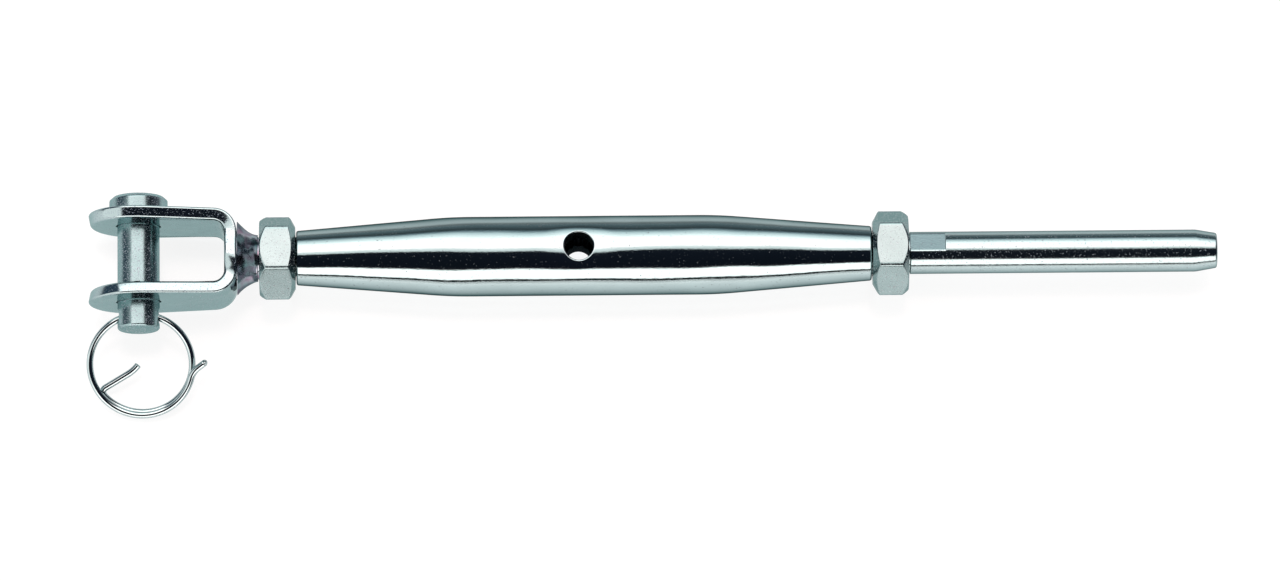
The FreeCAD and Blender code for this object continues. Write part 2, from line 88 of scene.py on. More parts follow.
# %% A long lens above the screw
lens = bpy.data.cameras.new("long_lens")
lens.lens = 299.281
lens.sensor_width = 36
lens.clip_end = 20
camera = bpy.data.objects.new("camera", lens)
camera.location = Vector((51.926, -353.73, 1562.053)) * MM
camera.rotation_mode = "ZXY"
camera.rotation_euler = (0.21936, -0.01501, -0.01183)
SCENE.collection.objects.link(camera)
SCENE.camera = camera
SCENE.view_settings.view_transform = "Standard"
print("camera in mm:", [round(part / MM, 1) for part in camera.location])

# %% [markdown]
# ## Light and floor
#
# Polished steel has hardly any colour of its own: what makes it look like steel is what it
# mirrors. The photograph shows two long white panels, one high behind the screw and one low in
# front of it, with darkness overhead and along the horizon. Lamps could stand there, but a sky
# that is bright in those two directions lights a long piece evenly from end to end.


# %% Small helpers for node trees
def new_node(tree, kind, **settings):
    """Adds a node. Settings are its own properties."""
    node = tree.nodes.new(kind)
    for key, setting in settings.items():
        setattr(node, key, setting)
    return node


def plug(tree, source, socket):
    """Puts a number, a colour or another node's output into a socket."""
    if isinstance(source, bpy.types.NodeSocket):
        tree.links.new(source, socket)
    else:
        socket.default_value = source


def reckon(tree, operation, *values, clamp=False):
    """One sum in a node tree, such as reckon(tree, "MULTIPLY", height, 0.5)."""
    node = new_node(tree, "ShaderNodeMath", operation=operation, use_clamp=clamp)
    for value, socket in zip(values, node.inputs):
        plug(tree, value, socket)
    return node.outputs[0]


def ramp(tree, value, stops):
    """A colour ramp. Each stop is a place from 0 to 1 and a grey or a colour."""
    node = new_node(tree, "ShaderNodeValToRGB")
    points = node.color_ramp.elements
    while len(points) < len(stops):
        points.new(1.0)
    for point, (place, tone) in zip(points, stops):
        point.position = place
        point.color = (tone, tone, tone, 1) if isinstance(tone, (int, float)) else (*tone, 1)
    plug(tree, value, node.inputs["Fac"])
    return node.outputs["Color"]


def mixed(tree, part, first, second, blend="MIX"):
    """A mix of two colours."""
    node = new_node(tree, "ShaderNodeMix", data_type="RGBA", blend_type=blend)
    plug(tree, part, node.inputs[0])
    for colour, socket in ((first, node.inputs[6]), (second, node.inputs[7])):
        plug(tree, (*colour, 1) if isinstance(colour, tuple) else colour, socket)
    return node.outputs[2]


# %% The sky with its two panels
# The tones of the two panels, the dark wall behind, the space between them and both ends.
HIGH_PANEL = (1.04, 1.0, 0.98)
HIGH_RIM = (0.93, 1.0, 1.02)
WARM_MIDDLE = (1.22, 1.0, 0.97)
LOW_PANEL = (1.12, 1.0, 0.97)
WALL = (0.78, 1.0, 1.1)
OVERHEAD = (0.7, 0.9, 1.5)
LEFT_DIM = (0.45, 0.75, 1.1)
RIGHT_DIM = (1.0, 0.9, 1.1)

# Angles from straight up towards the front, in degrees, how bright the sky is there, and its
# tone.
SKY = [
    (-180, 0.10, WALL),
    (-90, 0.24, WALL),
    (-79, 0.14, WALL),
    (-71, 0.07, WALL),
    (-66, 0.35, WALL),
    (-57, 1.25, HIGH_RIM),
    (-48, 1.80, HIGH_PANEL),
    (-42, 2.40, HIGH_PANEL),
    (-29, 2.40, HIGH_PANEL),
    (-25, 2.40, WARM_MIDDLE),
    (-14, 2.20, WARM_MIDDLE),
    (-9, 1.45, HIGH_PANEL),
    (-4, 1.30, HIGH_PANEL),
    (-1, 0.016, OVERHEAD),
    (49, 0.010, OVERHEAD),
    (53, 2.30, LOW_PANEL),
    (81.8, 2.30, LOW_PANEL),
    (82.8, 0.03, WALL),
    (90, 0.03, WALL),
    (180, 0.10, WALL),
]

# The same for the sky past either end of the panels. The left end has one dimmer panel, which
# reaches from overhead down to the front.
LEFT_SKY = [
    (-180, 0.11, LEFT_DIM),
    (-22, 0.11, LEFT_DIM),
    (-8, 1.30, HIGH_PANEL),
    (86, 1.30, HIGH_PANEL),
    (92, 0.11, LEFT_DIM),
    (180, 0.11, LEFT_DIM),
]
RIGHT_SKY = [
    (-180, 0.16, RIGHT_DIM),
    (-36, 0.16, RIGHT_DIM),
    (-26, 0.02, OVERHEAD),
    (49, 0.02, OVERHEAD),
    (60, 0.10, WALL),
    (180, 0.10, WALL),
]

# Where the panels end, by the direction's X.
LEFT_CUT = (-0.64, -0.59)
RIGHT_CUT = (0.42, 0.54)


def sky_ramp(tree, angle, stops, top):
    """A table of the sky as a ramp, with its brightest place as 1."""
    tones = [(turn / 360 + 0.5, tuple(level / top * part for part in tone))
             for turn, level, tone in stops]
    return ramp(tree, angle, tones)


def make_sky():
    """A sky that changes with the angle over the screw, and past the panels' ends."""
    world = bpy.data.worlds.new("two_panels")
    world.use_nodes = True
    tree = world.node_tree
    tree.nodes.clear()
    place = new_node(tree, "ShaderNodeTexCoord")
    split = new_node(tree, "ShaderNodeSeparateXYZ")
    tree.links.new(place.outputs["Generated"], split.inputs[0])
    front = reckon(tree, "MULTIPLY", split.outputs["Y"], -1.0)
    angle = reckon(tree, "ARCTAN2", front, split.outputs["Z"])
    part = reckon(tree, "MULTIPLY_ADD", angle, 0.5 / math.pi, 0.5)
    top = max(level * max(tone) for _, level, tone in SKY)
    middle, left, right = (sky_ramp(tree, part, stops, top)
                           for stops in (SKY, LEFT_SKY, RIGHT_SKY))
    side = reckon(tree, "MULTIPLY_ADD", split.outputs["X"], 0.5, 0.5)
    past_left, past_right = (
        ramp(tree, side, [(cut[0] / 2 + 0.5, 1.0 - far), (cut[1] / 2 + 0.5, far)])
        for cut, far in ((LEFT_CUT, 0.0), (RIGHT_CUT, 1.0)))
    whole = mixed(tree, past_left, middle, left)
    light = new_node(tree, "ShaderNodeBackground")
    plug(tree, mixed(tree, past_right, whole, right), light.inputs["Color"])
    light.inputs["Strength"].default_value = top
    out = new_node(tree, "ShaderNodeOutputWorld")
    tree.links.new(light.outputs[0], out.inputs[0])
    return world


SCENE.world = make_sky()
print("sky:", len(SKY), "stops, and", len(LEFT_SKY), "and", len(RIGHT_SKY), "at its ends")


# %% The floor
# The floor in the photograph is burnt out to pure white. Part of the brightness here comes from
# a glow that only the camera and reflections see, so that the floor is white and still takes a
# shadow. A slight gloss gives it faint reflections, as on a sheet of acrylic, and darkens it
# towards the horizon. Behind the screw a painted shade fades it to grey, which gives the barrel
# its dark upper edge.
FLOOR_COLOUR = (0.18, 0.18, 0.18)
FLOOR_GLOW = (0.89, 0.89, 0.89)
# Painted shade behind the screw: how far behind its axis in metres, and how much of the
# floor's brightness is left.
FLOOR_PAINTED_SHADE = [(0.042, 1.0), (0.085, 0.40), (0.30, 0.28)]
FLOOR_HALF = 6.0
FLOOR_GAP = 0.02 * MM
FLOOR_GLOSS = 0.2
FLOOR_IOR = 1.45


def white_acrylic():
    """The floor's material: matt white with a glow, both darkened behind the screw by painted
    shade, and a slight gloss over them.
    """
    sheet = bpy.data.materials.new("white_acrylic")
    sheet.use_nodes = True
    tree = sheet.node_tree
    tree.nodes.clear()
    place = new_node(tree, "ShaderNodeTexCoord").outputs["Object"]
    split = new_node(tree, "ShaderNodeSeparateXYZ")
    tree.links.new(place, split.inputs[0])
    # Painted shade: the floor's colour and glow fade to grey behind the screw.
    lit = ramp(tree, split.outputs["Y"], FLOOR_PAINTED_SHADE)
    matt = new_node(tree, "ShaderNodeBsdfDiffuse")
    plug(tree, mixed(tree, 1.0, FLOOR_COLOUR, lit, "MULTIPLY"), matt.inputs["Color"])
    glow = new_node(tree, "ShaderNodeEmission")
    plug(tree, mixed(tree, 1.0, FLOOR_GLOW, lit, "MULTIPLY"), glow.inputs["Color"])
    ray = new_node(tree, "ShaderNodeLightPath").outputs
    seen = reckon(tree, "ADD", ray["Is Camera Ray"], ray["Is Glossy Ray"])
    plug(tree, reckon(tree, "ADD", seen, ray["Is Transmission Ray"], clamp=True),
         glow.inputs["Strength"])
    white = new_node(tree, "ShaderNodeAddShader")
    tree.links.new(matt.outputs[0], white.inputs[0])
    tree.links.new(glow.outputs[0], white.inputs[1])
    gloss = new_node(tree, "ShaderNodeBsdfGlossy")
    gloss.inputs["Color"].default_value = (1, 1, 1, 1)
    gloss.inputs["Roughness"].default_value = FLOOR_GLOSS
    lean = new_node(tree, "ShaderNodeFresnel")
    lean.inputs["IOR"].default_value = FLOOR_IOR
    both = new_node(tree, "ShaderNodeMixShader")
    tree.links.new(lean.outputs[0], both.inputs[0])
    tree.links.new(white.outputs[0], both.inputs[1])
    tree.links.new(gloss.outputs[0], both.inputs[2])
    out = new_node(tree, "ShaderNodeOutputMaterial")
    tree.links.new(both.outputs[0], out.inputs["Surface"])
    return sheet


def make_floor():
    """A pale sheet that the screw lies on, just under its lowest point."""
    height = cad_low.z - FLOOR_GAP
    corners = [(x * FLOOR_HALF, y * FLOOR_HALF, height)
               for x, y in ((-1, -1), (1, -1), (1, 1), (-1, 1))]
    mesh = bpy.data.meshes.new("floor")
    mesh.from_pydata(corners, [], [(0, 1, 2, 3)])
    mesh.materials.append(white_acrylic())
    floor = bpy.data.objects.new("floor", mesh)
    SCENE.collection.objects.link(floor)
    return floor


floor = make_floor()
print(f"{floor.name}: {2 * FLOOR_HALF} m wide")

# %% [markdown]
# ## Steel
#
# Every piece is the same stainless steel with another finish: mirror polish on the barrel, fine
# turning marks on the studs, satin nuts and pin, and a tumbled fork with bright edges and small
# matt pits. One recipe makes them all. It has a colour that varies a little, a roughness that
# varies with the grain, long soft waves left by hand polishing, and fine grain.


# %% A recipe for steel
def texture(tree, place, scale, detail=2.0, stretch=(1, 1, 1), roughness=0.5):
    """A noise pattern in the piece's own space, its scale in features a metre."""
    mapping = new_node(tree, "ShaderNodeMapping")
    mapping.inputs["Scale"].default_value = stretch
    tree.links.new(place, mapping.inputs["Vector"])
    node = new_node(tree, "ShaderNodeTexNoise")
    node.inputs["Scale"].default_value = scale
    node.inputs["Detail"].default_value = detail
    node.inputs["Roughness"].default_value = roughness
    tree.links.new(mapping.outputs["Vector"], node.inputs["Vector"])
    return node.outputs["Fac"]


def emboss(tree, height, distance, below=None):
    """Presses a pattern into the surface, on top of another one if that is given."""
    bump = new_node(tree, "ShaderNodeBump")
    bump.inputs["Distance"].default_value = distance
    plug(tree, height, bump.inputs["Height"])
    if below is not None:
        tree.links.new(below, bump.inputs["Normal"])
    return bump.outputs["Normal"]


def steel(name, colour, roughness, spread, waves, grain, specks=None, edge_tint=0.2,
          other=None):
    """One finish of stainless steel.

    spread is how far the roughness varies. waves and grain are each a scale, a height in metres
    and a stretch. specks are small matt spots: a scale, how rare they are and a colour.
    edge_tint is how much the steel still mirrors where it turns away. other is a second colour
    that the first drifts to in patches.
    """
    material = bpy.data.materials.new(name)
    material.use_nodes = True
    tree = material.node_tree
    shader = tree.nodes["Principled BSDF"]
    shader.inputs["Metallic"].default_value = 1.0
    shader.inputs["Specular Tint"].default_value = (0.8 * edge_tint, edge_tint, edge_tint, 1)
    place = new_node(tree, "ShaderNodeTexCoord").outputs["Object"]
    cloud = texture(tree, place, waves[0] * 3, 3.0, waves[2])
    cloud = ramp(tree, cloud, [(0.35, 0.0), (0.65, 1.0)])
    tone = mixed(tree, cloud, colour, other or tuple(part * 0.93 for part in colour))
    fine = texture(tree, place, grain[0], 3.0, grain[2], 0.6)
    rough = reckon(tree, "MULTIPLY_ADD", fine, 2 * spread, roughness - spread)
    normal = emboss(tree, texture(tree, place, waves[0], 1.0, waves[2]), waves[1])
    normal = emboss(tree, fine, grain[1], normal)
    if specks:
        spots = texture(tree, place, specks[0], roughness=0.65)
        matt = ramp(tree, spots, [(specks[1], 0.0), (specks[1] + 0.05, 1.0)])
        tone = mixed(tree, matt, tone, specks[2])
        plug(tree, reckon(tree, "MULTIPLY_ADD", matt, -0.7, 1.0), shader.inputs["Metallic"])
    plug(tree, tone, shader.inputs["Base Color"])
    plug(tree, rough, shader.inputs["Roughness"])
    plug(tree, normal, shader.inputs["Normal"])
    return material


# %% The finishes, and the painted shade for the barrel's bore
STEEL = (0.425, 0.535, 0.545)
SATIN = (0.30, 0.40, 0.405)
ALONG = (0.3, 1, 1)
EVEN = (1, 1, 1)

mirror_polish = steel("mirror_polish", STEEL, 0.07, 0.02,
                      (95, 0.00042, (0.6, 1, 1)), (4500, 0.000005, (0.4, 1, 1)),
                      specks=(3000, 0.68, (0.16, 0.18, 0.2)), edge_tint=0.1)
satin_grain = steel("satin_grain", SATIN, 0.13, 0.04,
                    (110, 0.0001, EVEN), (4000, 0.00001, EVEN),
                    specks=(4200, 0.58, (0.42, 0.50, 0.52)), edge_tint=0.5)
turned_bright = steel("turned_bright", STEEL, 0.12, 0.03,
                      (80, 0.00008, ALONG), (4000, 0.000007, EVEN),
                      specks=(3600, 0.63, (0.30, 0.36, 0.40)), edge_tint=0.3)
tumbled = steel("tumbled", STEEL, 0.10, 0.03,
                (170, 0.0002, EVEN), (4000, 0.000006, EVEN),
                specks=(4200, 0.60, (0.30, 0.37, 0.45)), edge_tint=0.6)
satin_pin = steel("satin_pin", (0.29, 0.42, 0.43), 0.21, 0.04,
                  (170, 0.0001, EVEN), (4000, 0.000008, EVEN),
                  specks=(4200, 0.57, (0.42, 0.50, 0.56)), edge_tint=0.6)
bright_wire = steel("bright_wire", (0.54, 0.64, 0.65), 0.05, 0.02,
                    (300, 0.00002, EVEN), (4000, 0.000003, EVEN), edge_tint=0.4)
heat_tint = steel("heat_tint", (0.36, 0.44, 0.47), 0.11, 0.04,
                  (260, 0.00025, EVEN), (3500, 0.00001, EVEN), edge_tint=0.3,
                  other=(0.31, 0.24, 0.31))
# Painted shade: inside the barrel's bore and cross hole the steel is coloured nearly black. Its
# higher roughness is real, as a bore is not polished.
dark_bore = steel("dark_bore", (0.05, 0.055, 0.06), 0.45, 0.1,
                  (300, 0.0001, EVEN), (3000, 0.00003, EVEN))
finishes_and_shade = [mirror_polish, satin_grain, turned_bright, tumbled, satin_pin, bright_wire,
            heat_tint, dark_bore]
print("finishes:", ", ".join(finish.name for finish in finishes_and_shade))

# %% [markdown]
# ## Turned pieces
#
# Most pieces are turned on a lathe, so each is a profile swept about the screw's axis. Spin or
# the Screw modifier could do that. Here the rings of points are worked out in numbers, because
# some rings are trimmed to flats on the way, and then joined with quads. No corner of a real
# turned piece is quite sharp, so each corner of a profile is rounded. An extra point just
# beside each rounding keeps the flat or straight part next to it free of false shading.


# %% Profiles with rounded corners
# About how far each step turns round a corner, in radians.
ARC_STEP = 0.22


def rounded(corners, closed=False):
    """A profile in millimetres from corners (along, out, rounding radius)."""
    points = [np.array(corner[:2], float) for corner in corners]
    profile = []
    for number, corner in enumerate(corners):
        here = points[number]
        radius = corner[2] if len(corner) > 2 else 0
        if not radius or (not closed and number in (0, len(corners) - 1)):
            profile.append(here)
            continue
        before = points[number - 1] - here
        after = points[(number + 1) % len(points)] - here
        room = min(np.linalg.norm(before), np.linalg.norm(after))
        before = before / np.linalg.norm(before)
        after = after / np.linalg.norm(after)
        half = math.acos(np.clip(before @ after, -1, 1)) / 2
        turn = math.pi - 2 * half
        start = radius / math.tan(half)
        middle = here + (before + after) / np.linalg.norm(before + after) * radius / math.sin(half)
        spare = min(0.4 * radius, 0.3 * max(room - start, 0))
        first = here + before * start
        last = here + after * start
        profile.append(first + before * spare)
        steps = max(3, round(turn / ARC_STEP))
        for step in range(steps + 1):
            part = step / steps
            spoke = (first - middle) * math.sin((1 - part) * turn)
            spoke = spoke + (last - middle) * math.sin(part * turn)
            profile.append(middle + spoke / math.sin(turn))
        profile.append(last + after * spare)
    return np.array(profile)


# %% Rings, quads and pieces
def all_round(count):
    """Angles in even steps once round, in radians."""
    return np.arange(count) * 2 * math.pi / count


def rings_of(along, radius, angles):
    """Rings about the X axis. An angle of 0 is straight up, and a quarter turn is +Y."""
    along, radius, angles = np.broadcast_arrays(along, radius, angles)
    return np.stack([along, radius * np.sin(angles), radius * np.cos(angles)], axis=-1)


class Patchwork:
    """Gathers grids of points and their quads, which share their borders."""

    def __init__(self):
        self.points = []
        self.faces = []
        self.count = 0

    def add_rings(self, rings, wrap=False, keep=None):
        """Joins each ring to the next one, and the last one to the first if wrap is set."""
        rows, around = rings.shape[:2]
        row = np.arange(rows if wrap else rows - 1)[:, None]
        column = np.arange(around)[None, :]
        over = (row + 1) % rows
        beside = (column + 1) % around
        corners = [row * around + column, row * around + beside,
                   over * around + beside, over * around + column]
        quads = np.stack(corners, axis=-1) + self.count
        quads = quads[keep] if keep is not None else quads.reshape(-1, 4)
        self.points.append(rings.reshape(-1, 3))
        self.faces.extend(quads.tolist())
        self.count += rows * around

    def add_cap(self, ring):
        """Closes a ring with one flat face."""
        self.points.append(ring)
        self.faces.append(list(range(self.count, self.count + len(ring))))
        self.count += len(ring)

    def mesh(self, name, move=None):
        """Sews the grids together into one closed mesh, in metres."""
        points = np.concatenate(self.points) * MM
        if move is not None:
            points = move(points)
        mesh = bpy.data.meshes.new(name)
        mesh.from_pydata(points.tolist(), [], self.faces)
        return sewn(mesh)


def sewn(mesh):
    """Merges doubled points, turns all faces outwards and shades the mesh smooth."""
    shape = bmesh.new()
    shape.from_mesh(mesh)
    bmesh.ops.remove_doubles(shape, verts=shape.verts, dist=0.001 * MM)
    bmesh.ops.dissolve_degenerate(shape, edges=shape.edges, dist=0.0005 * MM)
    bmesh.ops.recalc_face_normals(shape, faces=shape.faces)
    loose = sum(1 for edge in shape.edges if not edge.is_manifold)
    for face in shape.faces:
        face.smooth = True
    shape.to_mesh(mesh)
    shape.free()
    print(f"{mesh.name}: {len(mesh.polygons)} faces, {loose} open edges")
    return mesh


def finish_piece(mesh, node, body, material):
    """Shows a mesh in place of a CAD node, on the body that carries the node."""
    mesh.materials.clear()
    mesh.materials.append(material)
    piece = bpy.data.objects.new(node + "_shown", mesh)
    SCENE.collection.objects.link(piece)
    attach(piece, body)
    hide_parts(node)
    return piece


def soft_least(values, softness):
    """The least of several values, with the change from one to the next rounded off."""
    values = np.stack(np.broadcast_arrays(*values))
    least = values.min(axis=0)
    share = np.exp((least - values) / softness).sum(axis=0)
    return least - softness * np.log(share)


# %% [markdown]
# ## The lock nuts
#
# A lock nut is turned from hexagon bar, and the lathe's chamfer leaves a curved edge at the ends
# of each flat. A cylinder with six sides and a boolean would give that with razor edges. Here
# the nut's radius in each direction is the least of the hexagon's and the turned blank's, with
# the change between them rounded off, so every edge catches light as it should.

# %% The two lock nuts
THREAD_RADIUS = 3.175
BORE_RADIUS = 3.225
NUT_FLATS = 11.4
NUT_CHAMFER = 1.05
NUT_FACE = NUT_FLATS / 2 * 0.98
NUT_SEAT = NUT_FLATS / 2 * 0.82
NUT_MOUTH = 0.25
CORNER_SOFTNESS = 0.11
CHAMFER_SOFTNESS = 0.06
# Steps along the outside's short and long stretches, and along each of the six sides.
FINE_STEP = 0.06
WIDE_STEP = 0.2
LONG_STRETCH = 2.2
SIDE_STEPS = 36


def hexagon(angles, flats, clock):
    """Distance from the axis to a hexagon's side in each direction, with softened corners."""
    sides = []
    for number in range(6):
        turned = angles - clock - number * math.pi / 3
        lean = np.cos(turned)
        sides.append(np.where(lean > 0.3, flats / 2 / np.maximum(lean, 0.3), 99.0))
    return soft_least(sides, CORNER_SOFTNESS)


def lock_nut(node, body, clock, first_face, last_face):
    """A nut turned by clock degrees, with the radius of each flat end."""
    start, end = reach(node, 0)
    height = end - start
    clock = math.radians(clock)
    corner = NUT_FLATS / math.sqrt(3)
    outline = rounded([
        (0, BORE_RADIUS + NUT_MOUTH, 0.08),
        (0, first_face, 0.12),
        (NUT_CHAMFER, corner),
        (height - NUT_CHAMFER, corner),
        (height, last_face, 0.12),
        (height, BORE_RADIUS + NUT_MOUTH, 0.08),
        (height - NUT_MOUTH, BORE_RADIUS, 0.05),
        (NUT_MOUTH, BORE_RADIUS, 0.05),
    ], closed=True)
    profile = [outline[0]]
    for point in outline[1:]:
        gap = np.linalg.norm(point - profile[-1])
        outside = min(point[1], profile[-1][1]) > NUT_SEAT - 0.2
        step = FINE_STEP if gap < LONG_STRETCH else WIDE_STEP
        for left in range(round(gap / step) if outside else 1, 1, -1):
            profile.append(profile[-1] + (point - profile[-1]) / left)
        profile.append(point)
    profile = np.array(profile)
    spread = np.sin(np.linspace(-0.5, 0.5, SIDE_STEPS + 1)[:-1] * math.pi) * math.pi / 6
    angles = np.concatenate([spread + number * math.pi / 3 for number in range(6)]) + clock
    sides = hexagon(angles, NUT_FLATS, clock)[None, :]
    radius = soft_least([profile[:, 1:], sides], CHAMFER_SOFTNESS)
    work = Patchwork()
    work.add_rings(rings_of(profile[:, :1] + start, radius, angles), wrap=True)
    return finish_piece(work.mesh(node), node, body, satin_grain)


fork_nut = lock_nut("fork_lock_nut", "fork_nut", 5.2, NUT_FACE, NUT_SEAT)
swage_nut = lock_nut("swage_lock_nut", "swage_nut", 1.3, NUT_SEAT, NUT_FACE)

# %% [markdown]
# ## A hole across a round bar
#
# The barrel has a cross hole for a turning bar, and the pin has one for the ring. A boolean
# leaves long thin faces round the hole, and a mirror polish shows each of them. So the skin's
# grid has an opening with straight sides, and rings of quads lead from it to the round rim, over
# the rim's small rounding, and down the hole's wall.


# %% Rings from an opening with straight sides to a round hole
# The usual number of points round a turned bar.
AROUND = 192


def clear_opening(keep, row, lines, half):
    """Leaves out the quads between some lines, half to each side of both ends of the hole."""
    for middle in (0, AROUND // 2):
        columns = np.arange(middle - half, middle + half) % AROUND
        keep[row:row + len(lines) - 1, columns] = False


def opening_border(lines, columns, half_turn):
    """Points of the opening's border, counted round from its far side, as (along, angle)."""
    far = [(lines[-1], half_turn * step / columns) for step in range(columns)]
    left = [(place, half_turn) for place in lines[::-1][:-1]]
    near = [(lines[0], half_turn * (1 - step / columns)) for step in range(2 * columns)]
    right = [(place, -half_turn) for place in lines[:-1]]
    last = [(lines[-1], half_turn * (step / columns - 1)) for step in range(columns)]
    return np.array(far + left + near + right + last)


def lead_in(border, rim, radius_at, steps):
    """Rings on a skin from the border of an opening to the rim of the hole."""
    rim_angle = np.arctan2(rim[:, 1], rim[:, 2])
    aim = np.stack([rim[:, 0], rim_angle], axis=-1)
    rings = []
    for step in range(steps):
        part = 1 - (1 - step / steps) ** 1.4
        along, angle = (border * (1 - part) + aim * part).T
        rings.append(rings_of(along, radius_at(along, angle), angle))
    rings.append(rim)
    return rings


def hole_rim(place, radius, rounding, skin_radius, count):
    """Rings over the rounded rim of a round hole in a round skin, from outside inwards."""
    turn = all_round(count)
    rings = []
    for lean in np.radians([0, 12, 25, 38, 51, 64, 77, 90]):
        out = radius + rounding * (1 - math.sin(lean))
        side = out * np.sin(turn)
        top = np.sqrt(skin_radius ** 2 - side ** 2) - rounding * (1 - math.cos(lean))
        rings.append(np.stack([place + out * np.cos(turn), side, top], axis=-1))
    return rings


def turned_over(rings):
    """The same rings on the other side of the bar."""
    return np.array(rings) * np.array([1, -1, -1])


# %% [markdown]
# ## The barrel
#
# The barrel is a spindle: two slow tapers that run into the thicker middle over soft shoulders,
# polished to a mirror. Its profile is a formula, so the mesh takes as many rings as the shoulders
# need. It is tapped from both ends, left-hand at the fork, and the two threads meet at the cross
# hole, where their crests show inside.

# %% The barrel's shape
BARREL_START, BARREL_END = reach("barrel", 0)
BARREL_LENGTH = BARREL_END - BARREL_START
BARREL_RADIUS = 6.0
BARREL_END_RADIUS = 4.1
TAPER = 23.2
SHOULDER = 2.9
BAR_HOLE = (BARREL_START + BARREL_END) / 2 - 0.8
BAR_HOLE_RADIUS = 2.15
BAR_HOLE_CLOCK = math.radians(3.3)
RIM_ROUNDING = 0.28
PITCH = 25.4 / 28

# The polishing wheel's dish round the cross hole.
DISH_DEPTH = 0.16
DISH_HALF_LENGTH = 6.3
DISH_HALF_WIDTH = 3.6

# A thread's profile is a wave whose tops and bottoms are cut off flat. The barrel's own thread
# is made only near the cross hole, where it can be seen.
WAVE_MIDDLE = 0.5
WAVE_SWING = 0.8
TAP_DEPTH = 0.5
TAP_REACH = 5.2
TAP_FADE = 0.3


def dish(along, side):
    """How far the polishing wheel has dragged the skin down round the cross hole."""
    away = ((along - BAR_HOLE) / DISH_HALF_LENGTH) ** 2 + (side / DISH_HALF_WIDTH) ** 2
    return DISH_DEPTH * np.clip(1 - away, 0, 1) ** 2


def spindle(along):
    """The barrel's radius at a place along it."""
    depth = np.minimum(along, BARREL_LENGTH - along)
    slope = (BARREL_RADIUS - BARREL_END_RADIUS) / TAPER
    taper = BARREL_END_RADIUS + slope * depth
    part = np.clip((depth - TAPER + SHOULDER) / (2 * SHOULDER), 0, 1)
    foot = BARREL_RADIUS - slope * SHOULDER
    blend = foot * (1 - part) ** 2 + BARREL_RADIUS * (2 * part * (1 - part) + part ** 2)
    return np.where(depth < TAPER - SHOULDER, taper, blend)


def tapped(along, angle):
    """The bore's radius: threads of both hands that meet at the cross hole."""
    away = np.abs(along - BAR_HOLE)
    wave = np.cos(2 * math.pi * away / PITCH + angle)
    crest = np.clip(WAVE_MIDDLE + WAVE_SWING * wave, 0, 1)
    return BORE_RADIUS - TAP_DEPTH * crest * np.clip((TAP_REACH - away) / TAP_FADE, 0, 1)


print(f"barrel: {BARREL_LENGTH:.1f} mm long, with its hole at {BAR_HOLE:.1f} mm")


# %% The cross hole's passage, from the polished skin to the tapped bore
def cross_passage(outer_border, inner_border, half_turn):
    """Rings from the skin's opening through the hole to the bore's opening."""
    count = len(outer_border)
    turn = all_round(count)

    def skin(along, angle):
        side = BARREL_RADIUS * np.sin(angle)
        return BARREL_RADIUS - dish(along, side)

    def bore(along, angle):
        return tapped(along, angle + half_turn)

    rim_rings = hole_rim(BAR_HOLE, BAR_HOLE_RADIUS, RIM_ROUNDING, BARREL_RADIUS, count)
    for ring in rim_rings:
        ring[:, 2] -= dish(ring[:, 0], ring[:, 1])
    foot = np.stack([BAR_HOLE + BAR_HOLE_RADIUS * np.cos(turn),
                     BAR_HOLE_RADIUS * np.sin(turn), np.full(count, 2.3)], axis=-1)
    for _ in range(4):
        depth = bore(foot[:, 0], np.arctan2(foot[:, 1], foot[:, 2]))
        foot[:, 2] = np.sqrt(depth ** 2 - foot[:, 1] ** 2)
    outside = lead_in(outer_border, rim_rings[0], skin, 22)
    wall = [rim_rings[-1] * (1 - part) + foot * part for part in (0.03, 0.3, 0.6, 0.97)]
    inside = lead_in(inner_border, foot, bore, 8)
    return np.array(outside + rim_rings[1:] + wall + inside[::-1])


# %% The barrel's rings, outside and in
# How far the openings in the grid reach to each side of the hole: along the barrel in
# millimetres, and around it in columns.
OUTER_HALF = 6.4
INNER_HALF = 2.9
OUTER_LINES = np.linspace(BAR_HOLE - OUTER_HALF, BAR_HOLE + OUTER_HALF, 65)
INNER_LINES = np.linspace(BAR_HOLE - INNER_HALF, BAR_HOLE + INNER_HALF, 41)
OUTER_COLUMNS = 20
INNER_COLUMNS = 32


def skin_profile():
    """The skin from one rim to the other, as (along, out)."""
    corners = [(0, 3.6), (0, BARREL_END_RADIUS, 0.3), (2, float(spindle(2)))]
    rim = rounded(corners)[1:-1] + [BARREL_START, 0]
    body = np.arange(1.0, BARREL_LENGTH - 0.9, 0.75) + BARREL_START
    body = body[np.abs(body - BAR_HOLE) > OUTER_HALF + 0.4]
    body = np.sort(np.concatenate([body, OUTER_LINES]))
    skin = np.stack([body, spindle(body - BARREL_START)], axis=-1)
    far_rim = (rim * [-1, 1] + [BARREL_START + BARREL_END, 0])[::-1]
    return np.concatenate([rim, skin, far_rim])


def bore_places():
    """Places for the bore's rings, close together where its thread shows."""
    plain = np.arange(BARREL_START + 2, BAR_HOLE - 5.4, 4)
    crests = np.arange(BAR_HOLE - 5.3, BAR_HOLE - INNER_HALF, 0.12)
    half = np.concatenate([plain, crests])
    return np.concatenate([half, INNER_LINES, (2 * BAR_HOLE - half)[::-1]])


